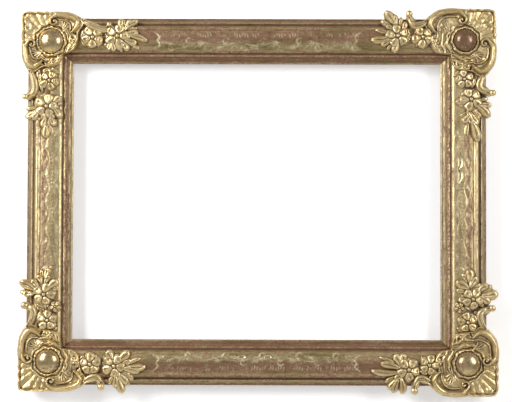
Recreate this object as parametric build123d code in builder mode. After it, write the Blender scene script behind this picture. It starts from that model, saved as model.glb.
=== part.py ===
"""A carved and gilded picture frame for a 610 x 460 mm canvas, with cartouche corners.

The frame hangs upright and faces -Y. X runs to the right, Z runs up, and the origin lies at the centre
of the opening in the plane of the wall, which is the back of the rails. All lengths are millimetres.

Four mitred rails are locked by butterfly keys let into the back. Each corner carries a carved cartouche
with a turned boss, and from each cartouche a curled leaf and a spray of flowers run out along both rails.
The back holds two D-ring hangers and four turn buttons.

Everything at a corner is carved as for the top left one and then mirrored to its place. There u runs
along the top rail away from the corner, v runs down the left rail, and a height is measured forwards
from the wall.
"""

import os
from math import asin, cos, radians, sin, tan

from build123d import *

# The picture and the section of the rails, from the outer edge inwards
picture_width = 610.0
picture_height = 460.0
picture_play = 1.5
rebate_lap = 7.0
rebate_depth = 14.0
lip_thickness = 5.0
back_inset = 4.0
side_height = 22.0
outer_cove_width = 7.0
outer_cove_rise = 5.0
outer_cove_hollow = 1.2
outer_bead_width = 3.4
outer_bead_rise = 2.6
outer_groove_width = 2.4
crest_width = 8.0
crest_wall = 3.2
crest_rise = 8.6
quirk_depth = 0.9
panel_width = 33.0
panel_height = 34.0
panel_fall = 0.6
shoulder_width = 4.2
shoulder_fall = 5.0
shoulder_middle_shares = (0.75, 0.32)
inner_groove_width = 2.0
inner_groove_height = 25.0
sight_bead_width = 4.0
sight_bead_rise = 2.4
cavetto_width = 7.4
cavetto_hollow = 1.5
sight_fillet_width = 2.6

# Carved work: heights in front of the wall
cartouche_underside = 15.0
cartouche_height = 39.0
shell_height = 43.5
collar_height = 42.8
scroll_height = 46.0
spray_underside = 31.0
curl_underside = 22.0
leaf_spring_fall = 0.3
leaf_height = 40.0
ground_height = 36.4
petal_height = 41.0
flower_eye_height = 43.4
curl_height = 42.0

# Bosses, and their seats in the cartouches
boss_seat_depth = 2.0
boss_edge = 2.6
boss_rise = 12.5
boss_play = 0.1

# Butterfly keys across the mitres
key_length = 48.0
key_end_width = 17.0
key_waist = 9.0
key_depth = 8.0
key_set_in = 35.0
key_play = 0.1
key_lean = 45.0

# Turn buttons and their screws
button_length = 30.0
button_width = 9.5
button_thickness = 1.6
button_corner = 2.6
button_setback = 9.0
screw_core_radius = 1.6
screw_head_radius = 3.6
screw_head_rise = 1.8
screw_head_sides = 14
screw_length = 16.0
screw_point_room = 1.0
running_play = 0.06
lying_play = 0.12

# D-ring hangers
hanger_rise = 152.0
hanger_set_in = 34.0
strap_width = 11.0
strap_thickness = 1.4
strap_length = 31.0
strap_screw_place = 21.0
strap_end_share = 0.30
eye_sides = 12
ring_wire_radius = 1.25
ring_half_width = 9.5
ring_drop = 12.5
ring_corner = 2.4
ring_bow_facets = 6

overrun = 5.0

# Sizes that follow from those above
outer_groove_height = side_height + outer_cove_rise
groove_start = outer_cove_width + outer_bead_width
crest_start = groove_start + outer_groove_width
panel_start = crest_start + crest_width
shoulder_start = panel_start + panel_width
inner_groove_start = shoulder_start + shoulder_width
sight_bead_start = inner_groove_start + inner_groove_width
cavetto_start = sight_bead_start + sight_bead_width
fillet_start = cavetto_start + cavetto_width
rail_width = fillet_start + sight_fillet_width
lip_height = rebate_depth + lip_thickness
back_width = rail_width - rebate_lap
sight_width = picture_width + 2 * picture_play - 2 * rebate_lap
sight_height = picture_height + 2 * picture_play - 2 * rebate_lap
outer_width = sight_width + 2 * rail_width
outer_height = sight_height + 2 * rail_width
crest_height = outer_groove_height + crest_rise
leaf_spring_height = panel_height - panel_fall - leaf_spring_fall
boss_seat_height = cartouche_height - boss_seat_depth

# Foot, spring and crown of each kind of lobe
shell_heights = (cartouche_underside, cartouche_height, shell_height)
collar_heights = (cartouche_underside, cartouche_height, collar_height)
ground_heights = (spray_underside, panel_height, ground_height)
leaf_heights = (spray_underside, leaf_spring_height, leaf_height)
petal_heights = (spray_underside, leaf_spring_height, petal_height)

# Sizes of the hardware that follow
ring_axis_height = strap_thickness + ring_wire_radius + lying_play
eye_bore_radius = ring_wire_radius + running_play
eye_radius = eye_bore_radius + strap_thickness
button_head_height = lying_play + button_thickness + lying_play

# The plane of the wall seen from the front, with its origin at the centre and at the top left corner
FORWARD = Vector(0, -1, 0)
FRONT = Plane(origin=(0, 0, 0), x_dir=(1, 0, 0), z_dir=FORWARD)
CORNER = Plane(origin=(-outer_width / 2, 0, outer_height / 2), x_dir=(1, 0, 0), z_dir=FORWARD)

# The mitre plane of that corner, in which one rail's carving is the mirror image of the other's
DIAGONAL = Plane(origin=CORNER.origin, z_dir=(1, 0, 1))

# Shapes of carved lobes in plan: shares of their length from the root and of their width off the axis
leaf_outline_shares = ((-0.1, 0.10), (0.58, 0.50), (1, 0), (0.58, -0.50), (-0.1, -0.10))
petal_outline_shares = ((0, 0.16), (0.70, 0.50), (1, 0), (0.70, -0.50), (0, -0.16))
collar_outline_shares = ((0, 0.50), (1, 0.42), (1, -0.42), (0, -0.50))
rib_outline_shares = ((0, 0.24), (0.86, 0.50), (1, 0), (0.86, -0.50), (0, -0.24))
round_facets = 3
carving_draft = 45.0
facet_turn = 37.0

# The flowers, the shell and the collar
petal_count = 5
petal_width_share = 1.02
flower_eye_share = 0.27
flower_eye_sides = 6
shell_ribs = 6
shell_spread = 80.0
shell_heading = 135.0
shell_rib_width_share = 0.20
shell_root_share = 0.10
collar_lobes = 10
collar_lobe_length_share = 0.085
ridge_width_share = 0.088
ridge_crown_share = 0.35
ground_width_share = 0.42
leaf_spread_share = 1.42
curl_width_share = 0.15
curl_lap_share = 0.03
curl_root_share = 0.07
curl_dip_share = 0.16
curl_bend_share = 0.12
curl_sides = 8
curl_facets = 5

# The scrolls of a cartouche, in shares of the rail's width, with their turns in degrees
scroll_heading = 98.0
scroll_sweep = 72.0
scroll_radius_share = 0.33
scroll_run_share = 0.16
volute_radius_share = 0.128
volute_sweep = 185.0
volute_eye_radius_share = 0.070
volute_eye_sweep = 185.0
scroll_foot_shares = (0.07, 0.27)
scroll_overhang_share = 0.13
scroll_reach_share = 1.22

# Outline of a cartouche over one rail, from its foot to the corner: how far along, how far in from the
# edge, the part of its overhang added to that, and whether the first counts from the scroll's reach. The
# bulges are those of the lobes between these places.
edge_shares = (
    (-0.14, 0.24, 0, True),
    (0, 0.02, 0, True),
    (-0.26, 0, -1, True),
    (0.56, 0, -1, False),
    (0.46, 0, -0.45, False),
    (0.24, 0, -0.65, False),
    (0.04, 0, -0.60, False),
)
edge_bulge_shares = (0.01, 0.03, 0.02, 0.02, 0.03, 0.04)
corner_bulge_share = 0.05
inner_lobe_shares = ((0.40, 0.12), (0.30, 0.30), (0.12, 0.40))
inner_bulge_shares = (-0.03, 0.05, 0.05, -0.03)

# Each corner: which way it is mirrored, its boss and its overhang. Shares are of the rail's width.
# Boss place (u, v), boss radius, overhang past the side and past the top, and where the scrolls end.
corner_shares = {
    "top_left": (False, False, (0.53, 0.54), 0.275, (0.13, 0.13), (1.22, 1.20)),
    "top_right": (True, False, (0.49, 0.50), 0.25, (0.21, 0.22), (1.36, 1.28)),
    "bottom_left": (False, True, (0.51, 0.53), 0.265, (0.16, 0.14), (1.32, 1.32)),
    "bottom_right": (True, True, (0.44, 0.50), 0.27, (0.25, 0.23), (1.28, 1.30)),
}

# Flowers of each spray: distance from the corner along the rail, distance in from its edge, radius.
flower_shares = {
    "top_left_level": ((1.44, 0.45, 0.24), (1.98, 0.435, 0.255)),
    "top_left_upright": ((1.40, 0.50, 0.21), (1.97, 0.44, 0.26)),
    "top_right_level": ((1.41, 0.43, 0.23), (1.96, 0.40, 0.25)),
    "top_right_upright": ((1.35, 0.51, 0.20), (1.79, 0.36, 0.24)),
    "bottom_left_level": ((1.43, 0.47, 0.23), (1.95, 0.43, 0.25)),
    "bottom_left_upright": ((1.42, 0.49, 0.22), (1.98, 0.41, 0.24), (1.72, 0.66, 0.12)),
    "bottom_right_level": ((1.28, 0.47, 0.21), (1.72, 0.37, 0.25)),
    "bottom_right_upright": ((1.40, 0.44, 0.22), (1.91, 0.32, 0.23), (1.72, 0.62, 0.11)),
}

# Leaves of each spray: root (along, in), tip (along, in) and width.
leaf_shares = {
    "top_left_level": (
        (2.09, 0.30, 2.07, 0.03, 0.11),
        (2.13, 0.28, 2.27, 0.05, 0.12),
        (2.20, 0.22, 2.45, 0.10, 0.09),
        (2.16, 0.36, 2.45, 0.31, 0.14),
        (2.20, 0.42, 2.66, 0.54, 0.11),
        (2.14, 0.48, 2.42, 0.56, 0.13),
        (2.05, 0.54, 2.22, 0.75, 0.12),
        (1.88, 0.56, 1.94, 0.75, 0.11),
        (1.82, 0.55, 1.76, 0.73, 0.11),
    ),
    "top_left_upright": (
        (2.05, 0.26, 2.20, -0.04, 0.12),
        (2.10, 0.30, 2.28, 0.14, 0.12),
        (2.12, 0.38, 2.28, 0.34, 0.12),
        (2.10, 0.52, 2.27, 0.61, 0.12),
        (2.00, 0.58, 2.24, 0.75, 0.12),
        (2.22, 0.44, 2.44, 0.37, 0.12),
        (2.22, 0.50, 2.41, 0.62, 0.12),
        (2.38, 0.45, 2.68, 0.45, 0.14),
        (1.90, 0.60, 1.77, 0.77, 0.13),
    ),
    "top_right_level": (
        (2.02, 0.18, 2.26, -0.14, 0.15),
        (1.98, 0.20, 2.01, -0.09, 0.11),
        (2.05, 0.28, 2.24, 0.18, 0.09),
        (2.12, 0.42, 2.57, 0.47, 0.13),
        (2.08, 0.50, 2.33, 0.63, 0.11),
        (1.98, 0.54, 2.08, 0.76, 0.13),
        (1.86, 0.28, 1.80, 0.08, 0.10),
    ),
    "top_right_upright": (
        (1.88, 0.20, 1.90, -0.10, 0.11),
        (1.90, 0.28, 2.20, -0.05, 0.14),
        (2.06, 0.38, 2.34, 0.19, 0.14),
        (2.10, 0.38, 2.31, 0.56, 0.13),
        (1.92, 0.42, 2.36, 0.36, 0.06),
        (2.28, 0.36, 2.74, 0.23, 0.14),
        (1.84, 0.50, 1.88, 0.69, 0.12),
    ),
    "bottom_left_level": (
        (2.04, 0.20, 2.17, -0.16, 0.14),
        (1.98, 0.22, 1.96, -0.06, 0.12),
        (2.06, 0.28, 2.28, 0.06, 0.15),
        (2.14, 0.36, 2.52, 0.29, 0.14),
        (2.26, 0.43, 2.66, 0.43, 0.12),
        (2.06, 0.52, 2.31, 0.73, 0.14),
        (1.90, 0.54, 1.77, 0.76, 0.14),
    ),
    "bottom_left_upright": (
        (2.06, 0.22, 2.25, -0.14, 0.14),
        (2.02, 0.20, 2.02, -0.06, 0.11),
        (2.12, 0.28, 2.29, 0.11, 0.12),
        (2.12, 0.52, 2.28, 0.73, 0.14),
        (2.20, 0.36, 2.41, 0.26, 0.10),
        (2.20, 0.44, 2.40, 0.54, 0.10),
        (2.32, 0.42, 2.58, 0.48, 0.11),
    ),
    "bottom_right_level": (
        (1.90, 0.18, 1.86, -0.17, 0.12),
        (1.94, 0.14, 2.05, -0.15, 0.12),
        (2.00, 0.18, 2.19, -0.05, 0.12),
        (1.82, 0.26, 2.04, 0.14, 0.12),
        (1.90, 0.34, 2.57, 0.36, 0.11),
        (1.92, 0.38, 2.36, 0.49, 0.13),
        (1.84, 0.44, 1.81, 0.73, 0.14),
        (1.90, 0.42, 2.05, 0.70, 0.14),
    ),
    "bottom_right_upright": (
        (1.94, 0.20, 1.80, -0.05, 0.14),
        (2.00, 0.12, 2.06, -0.23, 0.17),
        (2.06, 0.20, 2.22, -0.02, 0.13),
        (2.02, 0.34, 2.17, 0.20, 0.12),
        (1.90, 0.46, 1.91, 0.65, 0.12),
        (2.12, 0.42, 2.27, 0.71, 0.15),
        (2.14, 0.38, 2.39, 0.21, 0.14),
        (2.28, 0.41, 2.57, 0.42, 0.15),
    ),
}

# Curled leaf at the start of each spray: where its tip lies (along, in) and the tip's radius.
curl_shares = {
    "top_left_level": (1.80, 0.17, 0.055),
    "top_left_upright": (1.76, -0.03, 0.065),
    "top_right_level": (1.71, -0.08, 0.080),
    "top_right_upright": (1.65, -0.11, 0.075),
    "bottom_left_level": (1.67, -0.02, 0.085),
    "bottom_left_upright": (1.74, -0.01, 0.088),
    "bottom_right_level": (1.60, -0.09, 0.085),
    "bottom_right_upright": (1.71, -0.10, 0.075),
}


def spot(run, along, across):
    """Return the place on CORNER that lies these shares of the rail's width along a rail and in from it."""
    if run == "level":
        return Vector(along * rail_width, -across * rail_width)
    return Vector(across * rail_width, -along * rail_width)


def from_centre(corner, u, v):
    """Return the place on FRONT that lies u and v in from the named corner."""
    mirrored_across, mirrored_down = corner_shares[corner][:2]
    across = outer_width / 2 - u
    down = outer_height / 2 - v
    return Vector(across if mirrored_across else -across, -down if mirrored_down else down)


def turn_to_corner(corner, carved):
    """Return a piece carved for the top left corner, mirrored to the named one."""
    mirrored_across, mirrored_down = corner_shares[corner][:2]
    if mirrored_across:
        carved = carved.mirror(Plane.YZ)
    if mirrored_down:
        carved = carved.mirror(Plane.XY)
    return carved


def write_part(name, piece):
    """Label a finished piece and write it under its name."""
    piece.label = name
    export_step(piece, f"parts/{name}.step")


def draw_round(start, middle, end):
    """Draw a round of the moulding as the narrow flats that a plane leaves."""
    arc = ThreePointArc(start, middle, end, mode=Mode.PRIVATE)
    Polyline(*[arc @ (step / round_facets) for step in range(round_facets + 1)])


def draw_section():
    """Draw the section of a rail: inwards from its outer edge, and forwards from the wall."""
    bead_middle = outer_cove_width + outer_bead_width / 2
    cove_middle = (outer_cove_width / 2, side_height + outer_cove_rise / 2 - outer_cove_hollow)
    sight_bead_middle = sight_bead_start + sight_bead_width / 2
    crest_foot = outer_groove_height + crest_wall
    shoulder_height = panel_height - panel_fall
    shoulder_middle = (
        shoulder_start + shoulder_width * shoulder_middle_shares[0],
        shoulder_height - shoulder_fall * shoulder_middle_shares[1],
    )
    cavetto_middle = cavetto_start + cavetto_width / 2
    cavetto_half_height = (inner_groove_height + lip_height) / 2
    with BuildSketch() as section:
        with BuildLine():
            Polyline((back_width, rebate_depth), (back_width, 0), (back_inset, 0), (0, side_height))
            draw_round((0, side_height), cove_middle, (outer_cove_width, outer_groove_height))
            draw_round(
                (outer_cove_width, outer_groove_height),
                (bead_middle, outer_groove_height + outer_bead_rise),
                (groove_start, outer_groove_height),
            )
            Polyline(
                (groove_start, outer_groove_height),
                (crest_start, outer_groove_height),
                (crest_start, crest_foot),
            )
            draw_round(
                (crest_start, crest_foot),
                (crest_start + crest_width / 2, outer_groove_height + crest_rise),
                (panel_start, panel_height + quirk_depth),
            )
            Polyline(
                (panel_start, panel_height + quirk_depth),
                (panel_start, panel_height),
                (shoulder_start, shoulder_height),
            )
            draw_round(
                (shoulder_start, shoulder_height),
                shoulder_middle,
                (inner_groove_start, shoulder_height - shoulder_fall),
            )
            Polyline(
                (inner_groove_start, shoulder_height - shoulder_fall),
                (inner_groove_start, inner_groove_height),
                (sight_bead_start, inner_groove_height),
            )
            draw_round(
                (sight_bead_start, inner_groove_height),
                (sight_bead_middle, inner_groove_height + sight_bead_rise),
                (cavetto_start, inner_groove_height),
            )
            draw_round(
                (cavetto_start, inner_groove_height),
                (cavetto_middle, cavetto_half_height - cavetto_hollow),
                (fillet_start, lip_height),
            )
            Polyline((fillet_start, lip_height), (rail_width, lip_height), (rail_width, rebate_depth))
            Line((rail_width, rebate_depth), (back_width, rebate_depth))
        make_face()
    return section.sketch


def draw_key(corner, play):
    """Draw a butterfly key across the mitre of the named corner, larger all round by its play."""
    mirrored_across, mirrored_down = corner_shares[corner][:2]
    lean = key_lean if mirrored_across == mirrored_down else -key_lean
    half = key_length / 2
    end = key_end_width / 2
    waist = key_waist / 2
    outline = ((-half, end), (-half, -end), (0, -waist), (half, -end), (half, end), (0, waist))
    with BuildSketch() as key_plan:
        with Locations(from_centre(corner, key_set_in, key_set_in)):
            Polygon(*outline, rotation=lean)
        if play:
            offset(amount=play, kind=Kind.INTERSECTION)
    return key_plan.sketch


def build_moulding(inward, half_span, half_run):
    """Build one plain mitred moulding."""
    outer_edge = inward * -half_span
    section_plane = Plane(origin=outer_edge, x_dir=inward, z_dir=inward.cross(FORWARD))
    with BuildPart() as moulding:
        with BuildSketch(section_plane):
            add(draw_section())
        extrude(amount=half_run, both=True)
        for along in (section_plane.z_dir, -section_plane.z_dir):
            split(bisect_by=Plane(origin=outer_edge + along * half_run, z_dir=-along - inward), keep=Keep.TOP)
    return moulding.part


def build_rail(moulding, corners):
    """Build one rail: its moulding with housings for the keys and the screws."""
    with BuildPart() as rail:
        add(moulding)
        for corner in corners:
            with BuildSketch(FRONT):
                add(draw_key(corner, key_play))
            extrude(amount=key_depth, mode=Mode.SUBTRACT)
        with BuildSketch(FRONT):
            with Locations(*screw_places()):
                Circle(screw_core_radius + running_play)
        extrude(amount=screw_length - strap_thickness + screw_point_room, mode=Mode.SUBTRACT)
    return rail.part


def carve_block(plan, foot, spring, crown, root_walls=0):
    """Carve a block with this convex plan: straight walls up to its spring and a hipped crown above.

    The last walls of the plan, as many as root_walls, stay straight up to the crown.
    """
    heart = sum(plan, Vector()) / len(plan)
    level = CORNER.offset(spring)
    with BuildPart() as block:
        with BuildSketch(CORNER.offset(foot)):
            Polygon(*plan)
        extrude(amount=crown - foot)
        for start, end in list(zip(plan, plan[1:] + plan[:1]))[: len(plan) - root_walls]:
            side = end - start
            outward = Vector(-side.Y, side.X).normalized()
            if outward.dot(start - heart) < 0:
                outward = -outward
            lean = (CORNER.x_dir * outward.X + CORNER.y_dir * outward.Y) * sin(radians(carving_draft))
            slope = lean + FORWARD * cos(radians(carving_draft))
            split(bisect_by=Plane(origin=level.from_local_coords(start), z_dir=slope), keep=Keep.BOTTOM)
    return block.part


def carve_lobe(root, tip, width, outline_shares, foot, spring, crown):
    """Carve one lobe from a root to a tip."""
    ahead = tip - root
    aside = Vector(-ahead.Y, ahead.X).normalized() * width
    plan = [root + ahead * along + aside * across for along, across in outline_shares]
    return carve_block(plan, foot, spring, crown, root_walls=1)


def carve_eye(place, radius, sides, foot, spring, crown):
    """Carve a faceted eye."""
    turns = [radians(360 * side / sides) for side in range(sides)]
    plan = [place + Vector(cos(turn), sin(turn)) * radius for turn in turns]
    return carve_block(plan, foot, spring, crown)


def carve_ridge(stops, width, foot, spring, crown):
    """Carve a drafted ridge of this width through a row of places."""
    half = width / 2
    top = half * ridge_crown_share
    rise = crown - spring
    fall = foot - spring
    level = CORNER.offset(spring)
    with BuildPart() as ridge:
        with BuildLine():
            Polyline(*[level.from_local_coords(stop) for stop in stops])
        start = level.from_local_coords(stops[0])
        ahead = (level.from_local_coords(stops[1]) - start).normalized()
        with BuildSketch(Plane(origin=start, x_dir=FORWARD.cross(ahead), z_dir=ahead)):
            Polygon((-half, fall), (half, fall), (half, 0), (top, rise), (-top, rise), (-half, 0))
        sweep(transition=Transition.RIGHT)
    return ridge.part


def carve_scroll(overhang, reach):
    """Carve the C-scroll over the level rail, from its foot round into its volute."""
    lift = (overhang - scroll_overhang_share) * rail_width
    run = (scroll_run_share + reach - scroll_reach_share) * rail_width
    place = spot("level", reach - scroll_foot_shares[0], scroll_foot_shares[1]) + Vector(0, lift)
    heading = scroll_heading
    stops = [place]
    for radius_share, sweep_angle, straight in (
        (scroll_radius_share, scroll_sweep, run),
        (volute_radius_share, volute_sweep, 0),
        (volute_eye_radius_share, volute_eye_sweep, 0),
    ):
        facets = round(sweep_angle / facet_turn)
        turn = sweep_angle / facets
        chord = 2 * radius_share * rail_width * sin(radians(turn / 2))
        for _ in range(facets):
            chord_heading = radians(heading + turn / 2)
            place += Vector(cos(chord_heading), sin(chord_heading)) * chord
            heading += turn
            stops.append(place)
        if straight:
            place += Vector(cos(radians(heading)), sin(radians(heading))) * straight
            stops.append(place)
    width = ridge_width_share * rail_width
    return carve_ridge(stops, width, cartouche_underside, cartouche_height, scroll_height)


def draw_bulged(start, end, bulge, heart):
    """Draw two chords between two places that bulge away from the heart, or towards it if negative."""
    middle = (start + end) / 2
    chord = end - start
    outward = Vector(-chord.Y, chord.X).normalized()
    if outward.dot(middle - heart) < 0:
        outward = -outward
    Polyline(start, middle + outward * bulge * rail_width, end)


def draw_cartouche(boss, overhang, reach):
    """Draw the lobed outline of a cartouche."""
    heart = spot("level", *boss)
    level = []
    upright = []
    for run, half, past_edge, length in (
        ("level", level, overhang[1], reach[0]),
        ("upright", upright, overhang[0], reach[1]),
    ):
        for along, across, past, from_reach in edge_shares:
            half.append(spot(run, along + (length if from_reach else 0), across + past * past_edge))
    inner = [spot("level", boss[0] + across, boss[1] + down) for across, down in inner_lobe_shares]
    stops = [*level, *reversed(upright), *reversed(inner), level[0]]
    bulges = (*edge_bulge_shares, corner_bulge_share, *reversed(edge_bulge_shares), *inner_bulge_shares)
    with BuildSketch() as outline:
        with BuildLine():
            for start, end, bulge in zip(stops, stops[1:], bulges):
                draw_bulged(start, end, bulge, heart)
        make_face()
    return outline.sketch


def build_cartouche(corner):
    """Carve one cartouche over the top left mitre: shell, two C-scrolls, collar and the boss's seat."""
    boss, boss_share, overhang, reach = corner_shares[corner][2:]
    heart = spot("level", *boss)
    boss_radius = boss_share * rail_width
    seat_radius = boss_radius + boss_play
    carving = [carve_scroll(overhang[1], reach[0]), carve_scroll(overhang[0], reach[1]).mirror(DIAGONAL)]
    for rib in range(shell_ribs):
        turn = radians(shell_heading + shell_spread * (rib / (shell_ribs - 1) - 1 / 2))
        ahead = Vector(cos(turn), sin(turn))
        side_room = (heart.X + overhang[0] * rail_width) / abs(ahead.X)
        top_room = (overhang[1] * rail_width - heart.Y) / abs(ahead.Y)
        root = heart + ahead * (boss_radius + shell_root_share * rail_width)
        tip = heart + ahead * min(side_room, top_room)
        width = shell_rib_width_share * rail_width
        shape = rib_outline_shares
        carving.append(carve_lobe(root, tip, width, shape, *shell_heights))
    collar_width = 2 * seat_radius * tan(radians(180 / collar_lobes))
    for lobe in range(collar_lobes):
        turn = radians(360 * lobe / collar_lobes)
        ahead = Vector(cos(turn), sin(turn))
        root = heart + ahead * seat_radius
        tip = root + ahead * collar_lobe_length_share * rail_width
        shape = collar_outline_shares
        carving.append(carve_lobe(root, tip, collar_width, shape, *collar_heights))
    with BuildPart() as cartouche:
        with BuildSketch(CORNER.offset(cartouche_underside)):
            add(draw_cartouche(boss, overhang, reach))
        extrude(amount=cartouche_height - cartouche_underside)
        add(carving)
        with BuildSketch(CORNER.offset(boss_seat_height)):
            with Locations(heart):
                RegularPolygon(seat_radius, collar_lobes, major_radius=False, rotation=180 / collar_lobes)
        extrude(amount=scroll_height - boss_seat_height + overrun, mode=Mode.SUBTRACT)
        for moulding in (top_moulding, left_moulding):
            add(moulding, mode=Mode.SUBTRACT)
    return cartouche.part


def build_boss(corner):
    """Turn one domed boss for the top left corner."""
    boss, boss_share = corner_shares[corner][2:4]
    radius = boss_share * rail_width
    axis_foot = CORNER.from_local_coords(spot("level", *boss))
    side = Plane(origin=axis_foot, x_dir=(1, 0, 0), z_dir=Vector(1, 0, 0).cross(FORWARD))
    edge = boss_seat_height + boss_edge
    peak = edge + boss_rise
    sphere_radius = (radius**2 + boss_rise**2) / (2 * boss_rise)
    half_turn = asin(radius / sphere_radius) / 2
    with BuildPart() as boss_piece:
        with BuildSketch(side):
            with BuildLine():
                Polyline((0, peak), (0, boss_seat_height), (radius, boss_seat_height), (radius, edge))
                ThreePointArc(
                    (radius, edge),
                    (sphere_radius * sin(half_turn), peak - sphere_radius * (1 - cos(half_turn))),
                    (0, peak),
                )
            make_face()
        revolve(axis=Axis(axis_foot, FORWARD))
    return boss_piece.part


def carve_flower(run, along, across, size):
    """Carve one rosette: petals round a faceted eye."""
    heart = spot(run, along, across)
    radius = size * rail_width
    eye = flower_eye_share * radius
    flower = [carve_eye(heart, eye, flower_eye_sides, spray_underside, petal_height, flower_eye_height)]
    for petal in range(petal_count):
        turn = radians(360 * petal / petal_count + 360 * along)
        ahead = Vector(cos(turn), sin(turn))
        root = heart + ahead * eye / 2
        tip = heart + ahead * radius
        width = petal_width_share * radius
        flower.append(carve_lobe(root, tip, width, petal_outline_shares, *petal_heights))
    return flower


def build_spray(corner, run):
    """Carve one spray on a rail beside the top left corner: rosettes, leaves and the ground below them."""
    reach = corner_shares[corner][5][0 if run == "level" else 1]
    flowers = flower_shares[f"{corner}_{run}"]
    ground_root = spot(run, reach, flowers[0][1])
    ground_tip = spot(run, *flowers[1][:2])
    width = ground_width_share * rail_width
    carving = [carve_lobe(ground_root, ground_tip, width, rib_outline_shares, *ground_heights)]
    for root_along, root_across, tip_along, tip_across, share in leaf_shares[f"{corner}_{run}"]:
        root = spot(run, root_along, root_across)
        tip = spot(run, tip_along, tip_across)
        width = share * leaf_spread_share * rail_width
        carving.append(carve_lobe(root, tip, width, leaf_outline_shares, *leaf_heights))
    for flower in flowers:
        carving.extend(carve_flower(run, *flower))
    with BuildPart() as spray:
        add(carving)
        for neighbour in (cartouches[corner], top_moulding, left_moulding):
            add(neighbour, mode=Mode.SUBTRACT)
    return spray.part


def build_curl(corner, run):
    """Carve the curled leaf between a cartouche and its spray, from under the scroll to its round tip."""
    reach = corner_shares[corner][5][0 if run == "level" else 1]
    tip_along, tip_across, tip_share = curl_shares[f"{corner}_{run}"]
    root = spot(run, reach - curl_lap_share, curl_root_share)
    tip = spot(run, tip_along, tip_across)
    bend = spot(run, tip_along - curl_bend_share, max(curl_root_share, tip_across) + curl_dip_share)
    steps = [step / curl_facets for step in range(curl_facets + 1)]
    stops = [root * (1 - step) ** 2 + bend * 2 * step * (1 - step) + tip * step**2 for step in steps]
    stem = carve_ridge(stops, curl_width_share * rail_width, curl_underside, crest_height, curl_height)
    eye = carve_eye(tip, tip_share * rail_width, curl_sides, curl_underside, curl_height, flower_eye_height)
    with BuildPart() as curl:
        add([stem, eye])
        for neighbour in (cartouches[corner], sprays[f"{corner}_{run}"], top_moulding, left_moulding):
            add(neighbour, mode=Mode.SUBTRACT)
    return curl.part


def button_places():
    """Return each turn button's pivot on FRONT and the way it lies at rest, in degrees."""
    level_out = outer_height / 2 - back_width + button_setback
    upright_out = outer_width / 2 - back_width + button_setback
    return {
        "top_button": (Vector(0, level_out), 0),
        "bottom_button": (Vector(0, -level_out), 180),
        "left_button": (Vector(-upright_out, 0), -90),
        "right_button": (Vector(upright_out, 0), -90),
    }


def hanger_places():
    """Return the place on FRONT of each D-ring's axis."""
    across = outer_width / 2 - hanger_set_in
    return {"left": Vector(-across, hanger_rise), "right": Vector(across, hanger_rise)}


def strap_screw_places():
    """Return the places on FRONT of the screws that hold the straps."""
    return [place - Vector(0, strap_screw_place) for place in hanger_places().values()]


def screw_places():
    """Return the places on FRONT of every screw."""
    return [place for place, _ in button_places().values()] + strap_screw_places()


def build_screws(places, head_height):
    """Build a set of screws whose heads sit this high behind the wall plane."""
    with BuildPart() as screws:
        with BuildSketch(FRONT.offset(-head_height)):
            with Locations(*places):
                Circle(screw_core_radius)
        extrude(amount=screw_length)
        with BuildSketch(FRONT.offset(-head_height)):
            with Locations(*places):
                RegularPolygon(screw_head_radius, screw_head_sides)
        extrude(amount=-screw_head_rise)
    return screws.part


def build_button(pivot, lie):
    """Build one turn button lying along its rail, pivoted near one end."""
    span = button_length - button_width
    ahead = Vector(cos(radians(lie)), sin(radians(lie)))
    with BuildPart() as button:
        with BuildSketch(FRONT.offset(-lying_play)) as plate:
            with Locations(pivot + ahead * span / 2):
                Rectangle(button_length, button_width, rotation=lie)
            chamfer(plate.vertices(), length=button_corner)
            with Locations(pivot):
                Circle(screw_core_radius + running_play, mode=Mode.SUBTRACT)
        extrude(amount=-button_thickness)
    return button.part


def build_strap(place):
    """Build one hanger strap: a plate with an eye rolled round the ring's bar."""
    middle = FRONT.from_local_coords(place)
    side = Plane(origin=middle, x_dir=(0, 1, 0), z_dir=(1, 0, 0))
    plate_middle = (strap_thickness / 2, -strap_length / 2)
    with BuildPart() as strap:
        with BuildSketch(side):
            with Locations(plate_middle):
                Rectangle(strap_thickness, strap_length)
            with Locations((ring_axis_height, 0)):
                RegularPolygon(eye_radius, eye_sides)
                Circle(eye_bore_radius, mode=Mode.SUBTRACT)
        extrude(amount=strap_width / 2, both=True)
        foot_corners = strap.edges().filter_by(Axis.Y).group_by(Axis.Z)[0]
        chamfer(foot_corners, length=strap_width * strap_end_share)
        with BuildSketch(FRONT):
            with Locations(place - Vector(0, strap_screw_place)):
                Circle(screw_core_radius + running_play)
        extrude(amount=-strap_thickness, mode=Mode.SUBTRACT)
    return strap.part


def draw_loop(margin):
    """Draw the outline of a D-ring, this far outside the middle of its wire."""
    bow = ring_drop - ring_half_width
    turns = [radians(-180 * turn / ring_bow_facets) for turn in range(ring_bow_facets + 1)]
    shoulder = ring_half_width - ring_corner
    stops = [(-shoulder, 0), (shoulder, 0), (ring_half_width, -ring_corner)]
    stops += [(ring_half_width * cos(turn), ring_half_width * sin(turn) - bow) for turn in turns]
    stops.append((-ring_half_width, -ring_corner))
    with BuildSketch() as loop:
        with BuildLine():
            Polyline(*stops, close=True)
        make_face()
        offset(amount=margin, kind=Kind.INTERSECTION)
    return loop.sketch


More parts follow.
